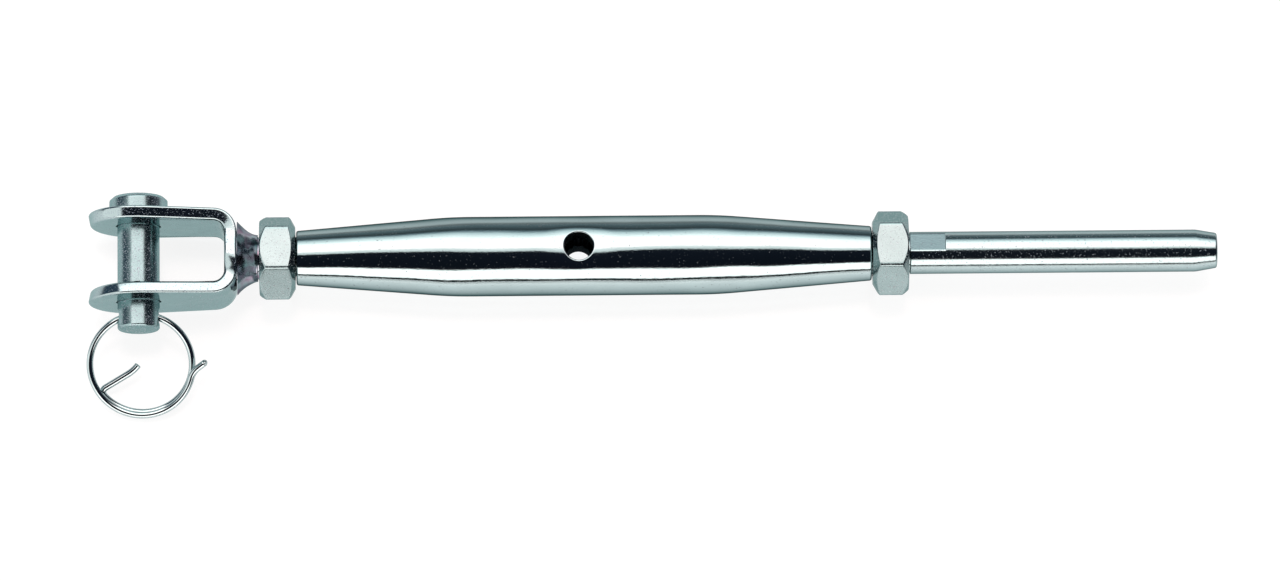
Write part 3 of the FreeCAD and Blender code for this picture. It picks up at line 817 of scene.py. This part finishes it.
def barrel_rings(angles):
    """All the barrel's rings, and which of their quads stay round the cross hole."""
    profile = skin_profile()
    places = bore_places()
    outer = rings_of(profile[:, :1], profile[:, 1:], angles)
    inside = rings_of(places[:, None], tapped(places[:, None], angles), angles)
    wide = BORE_RADIUS + 0.5
    far_mouth = rings_of([[BARREL_END], [BARREL_END - 0.5]], [[wide], [BORE_RADIUS]], angles)
    mouth = rings_of([[BARREL_START + 0.5], [BARREL_START]], [[BORE_RADIUS], [wide]], angles)
    rings = np.concatenate([outer, far_mouth, inside[::-1], mouth])
    keep = np.ones((len(rings), AROUND), bool)
    first = np.argmin(np.abs(profile[:, 0] - OUTER_LINES[0]))
    inner_first = len(outer) + 2 + np.argmin(np.abs(places[::-1] - INNER_LINES[-1]))
    clear_opening(keep, first, OUTER_LINES, OUTER_COLUMNS)
    clear_opening(keep, inner_first, INNER_LINES, INNER_COLUMNS)
    return rings, keep


# %% The barrel's mesh
# Faces nearer to the axis than this belong to the bore.
BORE_EDGE = 3.5


def give_second_material(mesh, material, inside):
    """Gives a second material, a finish or painted shade, to the faces whose middle, in
    millimetres, is inside.
    """
    mesh.materials.append(material)
    for face in mesh.polygons:
        if inside(face.center / MM):
            face.material_index = 1


def in_barrel_hole(place):
    """Whether a place is in the cross hole or the tapped bore."""
    level = place.z * math.cos(BAR_HOLE_CLOCK) + place.y * math.sin(BAR_HOLE_CLOCK)
    side = place.y * math.cos(BAR_HOLE_CLOCK) - place.z * math.sin(BAR_HOLE_CLOCK)
    in_hole = math.hypot(place.x - BAR_HOLE, side) < BAR_HOLE_RADIUS + 0.03
    return in_hole or math.hypot(level, side) < BORE_EDGE


def make_barrel():
    angles = all_round(AROUND)
    rings, keep = barrel_rings(angles)
    work = Patchwork()
    work.add_rings(rings, wrap=True, keep=keep)
    outer_border = opening_border(OUTER_LINES, OUTER_COLUMNS, angles[OUTER_COLUMNS])
    inner_border = opening_border(INNER_LINES, INNER_COLUMNS, angles[INNER_COLUMNS])
    for half_turn in (0, math.pi):
        passage = cross_passage(outer_border, inner_border, half_turn)
        work.add_rings(turned_over(passage) if half_turn else passage)
    turn_up = np.array(Matrix.Rotation(-BAR_HOLE_CLOCK, 3, "X"))
    mesh = work.mesh("barrel", lambda points: points @ turn_up.T)
    piece = finish_piece(mesh, "barrel", "barrel", mirror_polish)
    # The bore and the cross hole's wall take the painted shade.
    give_second_material(mesh, dark_bore, in_barrel_hole)
    return piece


barrel = make_barrel()


# %% [markdown]
# ## Threads
#
# Both studs carry a rolled thread, 28 to the inch, left-hand on the fork's stud. A thread
# repeats by a rule, so Geometry Nodes make it: a flat grid is rolled up so that each turn runs
# on into the next, and each row of the grid stands at its own height in the thread's profile.

# %% A node tree that rolls a grid into a thread
ROWS_A_TURN = 8
THREAD_DEPTH = 0.49
THREAD_CHAMFER = 0.35
# The grid has some turns more than the thread, part of them before it. They shrink to nothing
# and close its ends.
SPARE_TURNS = 5.0
LEAD_TURNS = 3.0


def new_tree(name, sizes, count):
    """A tree with inputs for its sizes, a whole number and a material, and a way to reckon."""
    tree = bpy.data.node_groups.new(name, "GeometryNodeTree")
    inputs = [("Geometry", "Geometry")] + [(size, "Float") for size in sizes]
    for title, kind in inputs + [(count, "Int"), ("Material", "Material")]:
        tree.interface.new_socket(name=title, in_out="INPUT", socket_type="NodeSocket" + kind)
    tree.interface.new_socket(name="Geometry", in_out="OUTPUT",
                              socket_type="NodeSocketGeometry")
    return tree, new_node(tree, "NodeGroupInput").outputs, partial(reckon, tree)


def thread_profile(given, sums, row, turn):
    """Each grid point's place along the axis, and its radius there."""
    free = sums("ADD", sums("MULTIPLY", sums("SUBTRACT", turn, LEAD_TURNS), given["Pitch"]),
                given["Start"])
    along = sums("MINIMUM", sums("MAXIMUM", free, given["Start"]), given["End"])
    wave = sums("COSINE", sums("MULTIPLY", row, 2 * math.pi / ROWS_A_TURN))
    crest = sums("MULTIPLY_ADD", wave, WAVE_SWING, WAVE_MIDDLE, clamp=True)
    dip = sums("MULTIPLY", sums("SUBTRACT", 1.0, crest), given["Depth"])
    radius = sums("SUBTRACT", given["Crest Radius"], dip)
    from_start = sums("SUBTRACT", along, given["Start"])
    from_end = sums("SUBTRACT", given["End"], along)
    tip = sums("ADD", sums("MINIMUM", from_start, from_end),
               sums("SUBTRACT", given["Crest Radius"], given["Chamfer"]))
    radius = sums("MINIMUM", radius, tip)
    beyond = sums("ABSOLUTE", sums("SUBTRACT", free, along))
    closing = sums("SUBTRACT", 1.0, sums("DIVIDE", beyond, given["Pitch"]), clamp=True)
    return along, sums("MULTIPLY", radius, closing)


def thread_tree():
    sizes = ("Start", "End", "Crest Radius", "Depth", "Pitch", "Hand", "Chamfer")
    tree, given, sums = new_tree("rolled_thread", sizes, "Segments")
    length = sums("SUBTRACT", given["End"], given["Start"])
    turns = sums("ADD", sums("DIVIDE", length, given["Pitch"]), SPARE_TURNS)
    rows = sums("CEIL", sums("MULTIPLY", turns, float(ROWS_A_TURN)))
    columns = sums("ADD", given["Segments"], 1.0)
    grid = new_node(tree, "GeometryNodeMeshGrid")
    plug(tree, rows, grid.inputs["Vertices X"])
    plug(tree, columns, grid.inputs["Vertices Y"])

    number = new_node(tree, "GeometryNodeInputIndex").outputs[0]
    row = sums("FLOOR", sums("DIVIDE", sums("ADD", number, 0.5), columns))
    column = sums("SUBTRACT", number, sums("MULTIPLY", row, columns))
    part = sums("DIVIDE", column, given["Segments"])
    turn = sums("ADD", sums("DIVIDE", row, float(ROWS_A_TURN)), part)
    along, radius = thread_profile(given, sums, row, turn)
    angle = sums("MULTIPLY", sums("MULTIPLY", part, 2 * math.pi), given["Hand"])
    place = new_node(tree, "ShaderNodeCombineXYZ")
    plug(tree, along, place.inputs["X"])
    plug(tree, sums("MULTIPLY", radius, sums("COSINE", angle)), place.inputs["Y"])
    plug(tree, sums("MULTIPLY", radius, sums("SINE", angle)), place.inputs["Z"])
    rolled = new_node(tree, "GeometryNodeSetPosition")
    plug(tree, grid.outputs["Mesh"], rolled.inputs["Geometry"])
    plug(tree, place.outputs[0], rolled.inputs["Position"])
    close_tree(tree, rolled.outputs["Geometry"], given["Material"])
    return tree


def close_tree(tree, geometry, material):
    """Ends a tree with real geometry and its material."""
    real = new_node(tree, "GeometryNodeRealizeInstances")
    tree.links.new(geometry, real.inputs["Geometry"])
    coated = new_node(tree, "GeometryNodeSetMaterial")
    tree.links.new(real.outputs["Geometry"], coated.inputs["Geometry"])
    tree.links.new(material, coated.inputs["Material"])
    out = new_node(tree, "NodeGroupOutput")
    tree.links.new(coated.outputs["Geometry"], out.inputs["Geometry"])


def plain_mesh(holder, name):
    """A plain mesh of what an object's modifiers or curve settings make. The object goes."""
    SCENE.collection.objects.link(holder)
    bpy.context.view_layer.update()
    depsgraph = bpy.context.evaluated_depsgraph_get()
    mesh = bpy.data.meshes.new_from_object(holder.evaluated_get(depsgraph))
    mesh.name = name
    holder.modifiers.clear()
    bpy.data.objects.remove(holder)
    return mesh


def run_tree(tree, data, name, **settings):
    """Runs a tree on an object's data once, and returns the mesh that comes out."""
    holder = bpy.data.objects.new(name, data)
    modifier = holder.modifiers.new(name, "NODES")
    modifier.node_group = tree
    for item in tree.interface.items_tree:
        key = item.name.lower().replace(" ", "_")
        if item.in_out == "INPUT" and key in settings:
            modifier[item.identifier] = settings[key]
    return plain_mesh(holder, name)


ROLLED_THREAD = thread_tree()
print("thread tree:", len(ROLLED_THREAD.nodes), "nodes")


# %% A thread, and several meshes as one
def thread(name, start, end, hand):
    """A thread between two places on the axis. A hand of -1 is left-hand."""
    return sewn(run_tree(
        ROLLED_THREAD, bpy.data.meshes.new(name), name,
        start=start * MM, end=end * MM, crest_radius=THREAD_RADIUS * MM,
        depth=THREAD_DEPTH * MM, pitch=PITCH * MM, hand=float(hand),
        chamfer=THREAD_CHAMFER * MM, segments=64, material=turned_bright))


def joined(name, meshes):
    """Several meshes as one."""
    shape = bmesh.new()
    for mesh in meshes:
        shape.from_mesh(mesh)
    whole = bpy.data.meshes.new(name)
    shape.to_mesh(whole)
    shape.free()
    print(f"{name}: {len(whole.polygons)} faces in all")
    return whole


# %% [markdown]
# ## The fork's stud
#
# The stud passes through the fork's web, is welded there, and is threaded from the weld to its
# end inside the barrel. Between weld and nut a short plain neck shows.

# %% The fork's stud
FORK_STUD_START, FORK_STUD_END = reach("fork_stud", 0)
WELD_START, WELD_END = reach("fork_weld", 0)
NECK_END = WELD_END + 0.3
NECK_CORE = 2.2


def solid_bar(name, corners, trim=None, around=AROUND, clock=0.0):
    """A turned piece, closed by a flat face at its first ring and one at its last."""
    profile = rounded(corners)
    angles = all_round(around) + clock
    radius = np.repeat(profile[:, 1:], around, axis=1)
    if trim:
        radius = trim(profile[:, :1], angles[None, :] - clock, radius)
    rings = rings_of(profile[:, :1], radius, angles)
    work = Patchwork()
    work.add_rings(rings)
    work.add_cap(rings[0])
    work.add_cap(rings[-1])
    return work.mesh(name)


def make_fork_stud():
    neck = solid_bar("fork_stud_neck", [
        (FORK_STUD_START, NECK_CORE),
        (FORK_STUD_START, THREAD_RADIUS, 0.15),
        (NECK_END, THREAD_RADIUS, 0.1),
        (NECK_END, NECK_CORE),
    ], around=96)
    screw = thread("fork_stud_thread", WELD_END + 0.2, FORK_STUD_END, -1)
    mesh = joined("fork_stud", [neck, screw])
    piece = finish_piece(mesh, "fork_stud", "fork", turned_bright)
    give_second_material(mesh, heat_tint, lambda place: place.x < WELD_END + 0.4)
    return piece


fork_stud = make_fork_stud()

# %% [markdown]
# ## The swage stud
#
# The other stud is one turned bar: thread, a narrow groove, two wrench flats and the tube that
# is pressed on the wire. The flats are two planes cut across the round bar, with square
# shoulders at both ends. The tube's mouth is tapered and its bore is open.

# %% The swage stud
SWAGE_START, SWAGE_END = reach("swage_stud", 0)
SWAGE_NUT_END = reach("swage_lock_nut", 0)[1]
FLATS_START = SWAGE_NUT_END + 0.25
FLATS_END = FLATS_START + 5.3
FLATS_HALF = 2.75
FLATS_CLOCK = math.radians(24)
GROOVE_RADIUS = THREAD_RADIUS - 0.25
TUBE_START = SWAGE_NUT_END - 1.5
WIRE_BORE = 1.65
WIRE_BORE_END = SWAGE_END - 38.0


def cut_flats(along, angles, radius):
    """Trims the outside of the wrench flats to two planes."""
    lean = np.maximum(np.abs(np.cos(angles)), 0.2)
    flat = soft_least([radius, FLATS_HALF / lean], 0.012)
    inside = (along > FLATS_START - 0.001) & (along < FLATS_END + 0.001)
    return np.where(inside & (radius > 2.9), flat, radius)


def make_swage_stud():
    # Rings on the tube's plain outside. Those close together make the flats' far shoulder.
    even = [FLATS_START + step for step in (0.08, 0.5, 2.8)]
    even += [FLATS_END + step for step in (-0.4, -0.05, 0, 0.03, 0.08, 0.3)]
    even.append(SWAGE_END - 6.0)
    corners = [
        (TUBE_START, 2.0),
        (TUBE_START, GROOVE_RADIUS),
        (FLATS_START - 0.04, GROOVE_RADIUS, 0.03),
        (FLATS_START, THREAD_RADIUS - 0.02),
        *[(place, THREAD_RADIUS) for place in even],
        (SWAGE_END - 3.2, THREAD_RADIUS, 3.0),
        (SWAGE_END, 2.62, 0.33),
        (SWAGE_END, WIRE_BORE, 0.12),
        (SWAGE_END - 1.5, WIRE_BORE),
        (SWAGE_END - 10.0, WIRE_BORE),
        (WIRE_BORE_END, WIRE_BORE),
        (WIRE_BORE_END, 1.2),
    ]
    tube = solid_bar("swage_tube", corners, cut_flats, clock=FLATS_CLOCK)
    screw = thread("swage_thread", SWAGE_START, SWAGE_NUT_END - 0.2, 1)
    mesh = joined("swage_stud", [tube, screw])
    return finish_piece(mesh, "swage_stud", "swage", turned_bright)


swage_stud = make_swage_stud()

# %% [markdown]
# ## The weld
#
# The weld is a hollow collar that runs from the fork's web down to the stud. A welder lays it
# in overlapping ripples, so the turned shape is pushed in and out by a slow pattern and by
# ripples that lean as the torch moved.


# %% The weld
WELD_AROUND = 160
WELD_RINGS = 30
WELD_LUMP = 0.30
WELD_RIPPLE = 0.05
RIPPLES_ROUND = 8


def weld_radius(part):
    """The collar's outside, from the web (0) to its end on the stud (1)."""
    return 3.58 + 2.02 * (1 - part) ** 1.9


def make_weld():
    angles = all_round(WELD_AROUND)
    parts = np.linspace(0, 1, WELD_RINGS)
    rings = []
    for part in parts:
        ring = []
        for angle in angles:
            spot = Vector((part * 1.4, math.sin(angle) * 1.6, math.cos(angle) * 1.6))
            lump = noise.noise(spot) * WELD_LUMP
            lean = part * 3 + 3 * noise.noise(spot * 0.8)
            ripple = math.cos(angle * RIPPLES_ROUND + lean) * WELD_RIPPLE
            fade = math.sin(math.pi * (0.12 + 0.83 * part))
            radius = weld_radius(part) - 0.06 + (lump + ripple) * fade
            ring.append(max(radius, THREAD_RADIUS + 0.01))
        rings.append(ring)
    along = WELD_START + (WELD_END - WELD_START) * parts
    inside = np.full((1, WELD_AROUND), THREAD_RADIUS - 0.1)
    radius = np.concatenate([inside, np.array(rings), inside])
    along = np.concatenate([[WELD_START], along, [WELD_END]])
    work = Patchwork()
    work.add_rings(rings_of(along[:, None], radius, angles), wrap=True)
    return finish_piece(work.mesh("weld"), "fork_weld", "fork", heat_tint)


weld = make_weld()

# %% [markdown]
# ## The fork's strap
#
# The fork is a flat strap with round ends, punched, tumbled until its edges are soft, and bent
# into a U. It is made here in the same order. A filled curve with holes gives the blank with
# rounded edges, cuts across the blank give the bends something to bend at, and then every point
# moves from the flat blank to its place on the U.

# %% The blank
PLATE = 1.85
EDGE = 0.38
EAR_RADIUS = 7.6
STRAP_HALF = 6.3
PIN_HOLE_RADIUS = 3.275

# The space inside the fork. The ears stand further apart at their tips than at the web.
BEND_RADIUS = 1.7
WEB_GAP = 9.4
TIP_GAP = 10.1
JAW_DEPTH = 13.0
EAR_SPAN = 21.6

# Places in the middle of the plate's thickness, on the bent fork and along the flat blank.
BEND_MIDDLE = BEND_RADIUS + PLATE / 2
WEB_HALF = WEB_GAP / 2 + PLATE / 2 - BEND_MIDDLE
WEB_MIDDLE = JAW_DEPTH + PLATE / 2
SPLAY = math.atan((TIP_GAP / 2 - WEB_GAP / 2) / EAR_SPAN)
BEND_TURN = math.pi / 2 - SPLAY
BEND_END = WEB_HALF + BEND_MIDDLE * BEND_TURN
EAR_LENGTH = (WEB_MIDDLE - BEND_MIDDLE + BEND_MIDDLE * math.sin(SPLAY)) / math.cos(SPLAY)
PIN_PLACE = BEND_END + EAR_LENGTH
print(f"blank: {2 * (PIN_PLACE + EAR_RADIUS):.1f} mm long")


def blank_outline():
    """Half of the blank's outline, from the upper edge of the web round one ear."""
    bend = Vector((WEB_MIDDLE - BEND_MIDDLE, STRAP_HALF))
    touch = math.atan2(bend.y, bend.x) + math.acos(EAR_RADIUS / bend.length)
    points = [(PIN_PLACE - bend.x, STRAP_HALF)]
    for angle in np.linspace(touch, 2 * math.pi - touch, 90):
        points.append((PIN_PLACE - EAR_RADIUS * math.cos(angle), EAR_RADIUS * math.sin(angle)))
    points.append((PIN_PLACE - bend.x, -STRAP_HALF))
    return points


def circle_points(middle, radius, count=96):
    """A round hole's outline."""
    return [(middle + radius * math.cos(turn), radius * math.sin(turn))
            for turn in all_round(count)]


def make_blank():
    half = blank_outline()
    outline = half + [(-along, -across) for along, across in half]
    curve = bpy.data.curves.new("blank", "CURVE")
    curve.dimensions = "2D"
    curve.fill_mode = "BOTH"
    curve.extrude = (PLATE / 2 - EDGE) * MM
    curve.bevel_depth = EDGE * MM
    curve.bevel_resolution = 4
    curve.offset = -EDGE * MM
    holes = [(PIN_PLACE, PIN_HOLE_RADIUS), (-PIN_PLACE, PIN_HOLE_RADIUS),
             (0, THREAD_RADIUS + 0.03)]
    for points in [outline] + [circle_points(middle, radius) for middle, radius in holes]:
        spline = curve.splines.new("POLY")
        spline.points.add(len(points) - 1)
        spline.use_cyclic_u = True
        for point, (along, across) in zip(spline.points, points):
            point.co = (along * MM, across * MM, 0, 1)
    return plain_mesh(bpy.data.objects.new("blank", curve), "fork_strap")


# %% The punch's mark and the web's lump
# A punch leaves the edge of a plate a little slanted: the face that ends up inside the fork is
# smaller all round. Across the web the edge also gets a low lump. It is a guess at what makes
# the dark patch that the photograph shows there.
SLANT = math.tan(math.radians(12))
EAR_START = -0.73
WEB_LUMP = 0.45
LUMP_START = -3.6
LUMP_TOP = -0.4
LUMP_END = 3.0
LUMP_LEAN = 0.8
WEB_ROUGHNESS = 0.04


def eased(value, low, high):
    """From 0 at low to 1 at high, with a soft start and a soft end."""
    part = np.clip((value - low) / (high - low), 0, 1)
    return part ** 2 * (3 - 2 * part)


def web_rise(along, across, height):
    """How far the web's edge stands proud: one long lump, and small ones all over."""
    along = along + LUMP_LEAN * height
    lump = eased(along, LUMP_START, LUMP_TOP) - eased(along, LUMP_TOP, LUMP_END)
    fade = np.clip(4.2 - abs(along), 0, 1)
    small = noise.noise(Vector((along * 1.4, across, height)))
    return WEB_LUMP * lump + fade * WEB_ROUGHNESS * small


def slanted(point):
    """Moves a point of the blank's edge: inwards by its depth, and outwards by the web's lump."""
    along, across, height = point / MM
    side = math.copysign(1, along)
    depth = PLATE / 2 - height
    ear_along = abs(along) - PIN_PLACE
    if ear_along > EAR_START:
        spoke = Vector((ear_along, across))
        if spoke.length > EAR_RADIUS - EDGE - 0.05:
            spoke *= 1 - SLANT * depth / EAR_RADIUS
            along, across = side * (spoke.x + PIN_PLACE), spoke.y
    elif abs(across) > STRAP_HALF - EDGE - 0.05:
        across += math.copysign(1, across) * (web_rise(along, across, height) - SLANT * depth)
    return Vector((along, across, height)) * MM


# %% Bending the blank
def bend_point(point):
    """Where a point of the flat blank lies on the bent fork."""
    side = math.copysign(1, point.x)
    along = abs(point.x) / MM
    height = point.z / MM
    if along < WEB_HALF:
        x = WEB_MIDDLE + height
        y = along
    else:
        turn = min((along - WEB_HALF) / BEND_MIDDLE, BEND_TURN)
        x = WEB_MIDDLE - BEND_MIDDLE + (BEND_MIDDLE + height) * math.cos(turn)
        y = WEB_HALF + (BEND_MIDDLE + height) * math.sin(turn)
        rest = max(along - BEND_END, 0)
        x -= rest * math.sin(turn)
        y += rest * math.cos(turn)
    return Vector((x, side * y, point.y / MM)) * MM


def make_strap():
    """Cuts lines across the blank, slants its edge and bends it, point by point."""
    mesh = make_blank()
    shape = bmesh.new()
    shape.from_mesh(mesh)
    bmesh.ops.remove_doubles(shape, verts=shape.verts, dist=0.002 * MM)
    stations = np.concatenate([
        np.linspace(0.37, WEB_HALF, 9)[:-1],
        np.linspace(WEB_HALF, BEND_END, 15),
        np.linspace(BEND_END + 0.6, PIN_PLACE, 6),
    ])
    for station in stations:
        for side in (-1, 1):
            everything = list(shape.verts) + list(shape.edges) + list(shape.faces)
            bmesh.ops.bisect_plane(shape, geom=everything, dist=0.0005 * MM,
                                   plane_co=(side * station * MM, 0, 0), plane_no=(1, 0, 0))
    for vertex in shape.verts:
        vertex.co = bend_point(slanted(vertex.co))
    shape.to_mesh(mesh)
    shape.free()
    piece = finish_piece(sewn(mesh), "fork_strap", "fork", tumbled)
    flat = piece.modifiers.new("flat_faces_stay_flat", "WEIGHTED_NORMAL")
    flat.weight = 90
    flat.keep_sharp = False
    return piece


strap = make_strap()

# %% [markdown]
# ## The clevis pin
#
# The pin is a headed bar that goes through both ears. It is made lying along the screw's axis
# as the other turned pieces are, and then turned to lie across the fork.

# %% The clevis pin
PIN_LOW, PIN_HIGH = reach("clevis_pin", 1)
PIN_RADIUS = 3.175
HEAD_RADIUS = 4.4
RING_HOLE = -8.8106
RING_HOLE_RADIUS = 1.1
PIN_LINES = np.linspace(RING_HOLE - 1.75, RING_HOLE + 1.75, 33)
PIN_COLUMNS = 16


def pin_rings(angles):
    """The pin's rings, and which of their quads stay round its cross hole."""
    head = PIN_HIGH - 2.5
    profile = rounded([
        (PIN_LOW, 0.0),
        (PIN_LOW, 1.2),
        (PIN_LOW, PIN_RADIUS, 0.42),
        (head, PIN_RADIUS, 0.12),
        (head, HEAD_RADIUS, 0.18),
        (PIN_HIGH - 0.55, HEAD_RADIUS, 0.3),
        (PIN_HIGH, HEAD_RADIUS - 0.6, 0.3),
        (PIN_HIGH, 1.5),
        (PIN_HIGH, 0.0),
    ])
    before = profile[profile[:, 0] < PIN_LINES[0]]
    after = profile[profile[:, 0] > PIN_LINES[-1]]
    opening = np.stack([PIN_LINES, np.full(len(PIN_LINES), PIN_RADIUS)], axis=-1)
    profile = np.concatenate([before, opening, after])
    rings = rings_of(profile[:, :1], profile[:, 1:], angles)
    keep = np.ones((len(rings) - 1, AROUND), bool)
    clear_opening(keep, len(before), PIN_LINES, PIN_COLUMNS)
    return rings, keep


def pin_passage(half_turn):
    """Rings from the pin's skin, over the hole's rim and down to its middle."""
    border = opening_border(PIN_LINES, PIN_COLUMNS, half_turn)
    rim_rings = hole_rim(RING_HOLE, RING_HOLE_RADIUS, 0.15, PIN_RADIUS, len(border))
    lead = lead_in(border, rim_rings[0],
                   lambda along, angle: np.full_like(along, PIN_RADIUS), 8)
    low = rim_rings[-1] * [1, 1, 0]
    wall = [rim_rings[-1] * (1 - part) + low * part for part in (0.05, 0.5, 1.0)]
    return np.array(lead + rim_rings[1:] + wall)


def make_pin():
    angles = all_round(AROUND)
    rings, keep = pin_rings(angles)
    passage = pin_passage(angles[PIN_COLUMNS])
    work = Patchwork()
    work.add_rings(rings, keep=keep)
    work.add_rings(passage)
    work.add_rings(turned_over(passage))
    mesh = work.mesh("clevis_pin", lambda points: points[:, [2, 0, 1]])
    return finish_piece(mesh, "clevis_pin", "pin", satin_pin)


pin = make_pin()

# %% [markdown]
# ## The split ring
#
# One spring wire, a turn and a third long, goes through the pin's cross hole. Its inner tail is
# bent back sharply and its outer tail flares away. The path is worked out bend by bend from the
# hole both ways, as the wire is wound, and Geometry Nodes sweep the round wire along it, with
# both cut ends softened.

# %% The wire's path
WIRE_RADIUS = 0.5
RING_RADIUS = 16.5 / 2 - WIRE_RADIUS
RING_OFFSET = 0.98
RING_LEAN = math.radians(26.3)
RING_YAW = math.radians(2.3)

# The bends on both sides of the pin's hole. Each is a radius and an angle in degrees, or the
# length of a straight part and None.
FRONT_COIL = [(RING_RADIUS - 0.1, -230.5)]
INNER_TAIL = [(0.8, -100), (4.0, None), (6.0, 20)]
BACK_COIL = [(RING_RADIUS, 253)]
OUTER_TAIL = [(3.0, -37), (1.4, None)]


def bent_wire(point, heading, upright, bends, step):
    """Points along a wire through its bends, which moves aside by step in a full turn."""
    points = [point.copy()]
    for size, angle in bends:
        if angle is None:
            for _ in range(12):
                point = point + heading * size / 12
                points.append(point.copy())
            continue
        parts = max(6, round(abs(angle) / 3))
        turn = math.radians(angle) / parts
        for _ in range(parts):
            side = upright.cross(heading) * math.copysign(size, angle)
            rotation = Matrix.Rotation(turn, 3, upright)
            point = point + side - rotation @ side
            heading = rotation @ heading
            twist = step / (2 * math.pi * size) * abs(turn)
            upright = Matrix.Rotation(twist, 3, heading) @ upright
            points.append(point.copy())
    return points, heading, upright


def wire_path():
    """The wire's points from the inner tail's tip to the outer tail's."""
    sag = RING_RADIUS - math.sqrt(RING_RADIUS ** 2 - PIN_RADIUS ** 2)
    tilt = Matrix.Rotation(-RING_OFFSET / (2 * math.pi * RING_RADIUS), 3, "Y")
    start = Vector((0, sag / 2, 0))
    heading = tilt @ Vector((1, 0, 0))
    upright = tilt @ Vector((0, 0, 1))
    halves = []
    for way, coil, tail in ((1, FRONT_COIL, INNER_TAIL), (-1, BACK_COIL, OUTER_TAIL)):
        points, ahead, up = bent_wire(start, heading * way, upright, coil, RING_OFFSET)
        halves.append(points + bent_wire(points[-1], ahead, up, tail, 0)[0][1:])
    path = halves[0][::-1] + halves[1][1:]
    turn = Matrix.Rotation(RING_LEAN, 3, "X") @ Matrix.Rotation(RING_YAW, 3, "Z")
    return [turn @ point + Vector((0, RING_HOLE, 0)) for point in path]


def with_close_ends(path):
    """Adds points close to both tips, for their softened edges to follow."""
    for _ in range(2):
        tip = path[0]
        away = (path[1] - tip).normalized()
        path[1:1] = [tip + away * step for step in (0.02, 0.06, 0.12, 0.2)]
        path = path[::-1]
    return path


WIRE_PATH = with_close_ends(wire_path())
print("wire path:", len(WIRE_PATH), "points")


# %% The wire swept along its path
# Each cut end narrows over this length, to this part of the wire's thickness.
TIP_LENGTH = 0.22
TIP_WIDTH = 0.55


def wire_tree():
    tree, given, sums = new_tree("round_wire", ("Wire Radius", "Tip Length"), "Sides")
    place = new_node(tree, "GeometryNodeSplineParameter").outputs["Length"]
    whole = new_node(tree, "GeometryNodeSplineLength").outputs["Length"]
    end = sums("MINIMUM", place, sums("SUBTRACT", whole, place))
    part = sums("SUBTRACT", 1.0, sums("DIVIDE", end, given["Tip Length"]), clamp=True)
    width = sums("SQRT", sums("SUBTRACT", 1.0, sums("MULTIPLY", part, part)))
    width = sums("MAXIMUM", width, TIP_WIDTH)
    thick = new_node(tree, "GeometryNodeSetCurveRadius")
    plug(tree, given["Geometry"], thick.inputs["Curve"])
    plug(tree, width, thick.inputs["Radius"])
    circle = new_node(tree, "GeometryNodeCurvePrimitiveCircle")
    plug(tree, given["Sides"], circle.inputs["Resolution"])
    plug(tree, given["Wire Radius"], circle.inputs["Radius"])
    swept = new_node(tree, "GeometryNodeCurveToMesh")
    plug(tree, thick.outputs["Curve"], swept.inputs["Curve"])
    plug(tree, circle.outputs["Curve"], swept.inputs["Profile Curve"])
    swept.inputs["Fill Caps"].default_value = True
    close_tree(tree, swept.outputs["Mesh"], given["Material"])
    return tree


def make_ring():
    curve = bpy.data.curves.new("wire", "CURVE")
    curve.dimensions = "3D"
    spline = curve.splines.new("POLY")
    spline.points.add(len(WIRE_PATH) - 1)
    for point, place in zip(spline.points, WIRE_PATH):
        point.co = (*(place * MM), 1)
    mesh = run_tree(wire_tree(), curve, "split_ring", wire_radius=WIRE_RADIUS * MM,
                    tip_length=TIP_LENGTH * MM, sides=28, material=bright_wire)
    return finish_piece(sewn(mesh), "split_ring", "ring", bright_wire)


ring = make_ring()

# %% [markdown]
# ## The count
#
# Each piece is counted once more, with the faces of all of them. The finished model must keep to
# the imported one's box.

# %% The pieces, from the fork to the wire's tube
pieces = [strap, pin, ring, fork_stud, weld, fork_nut, barrel, swage_nut, swage_stud]
print(len(pieces), "pieces,", sum(len(piece.data.polygons) for piece in pieces), "faces")
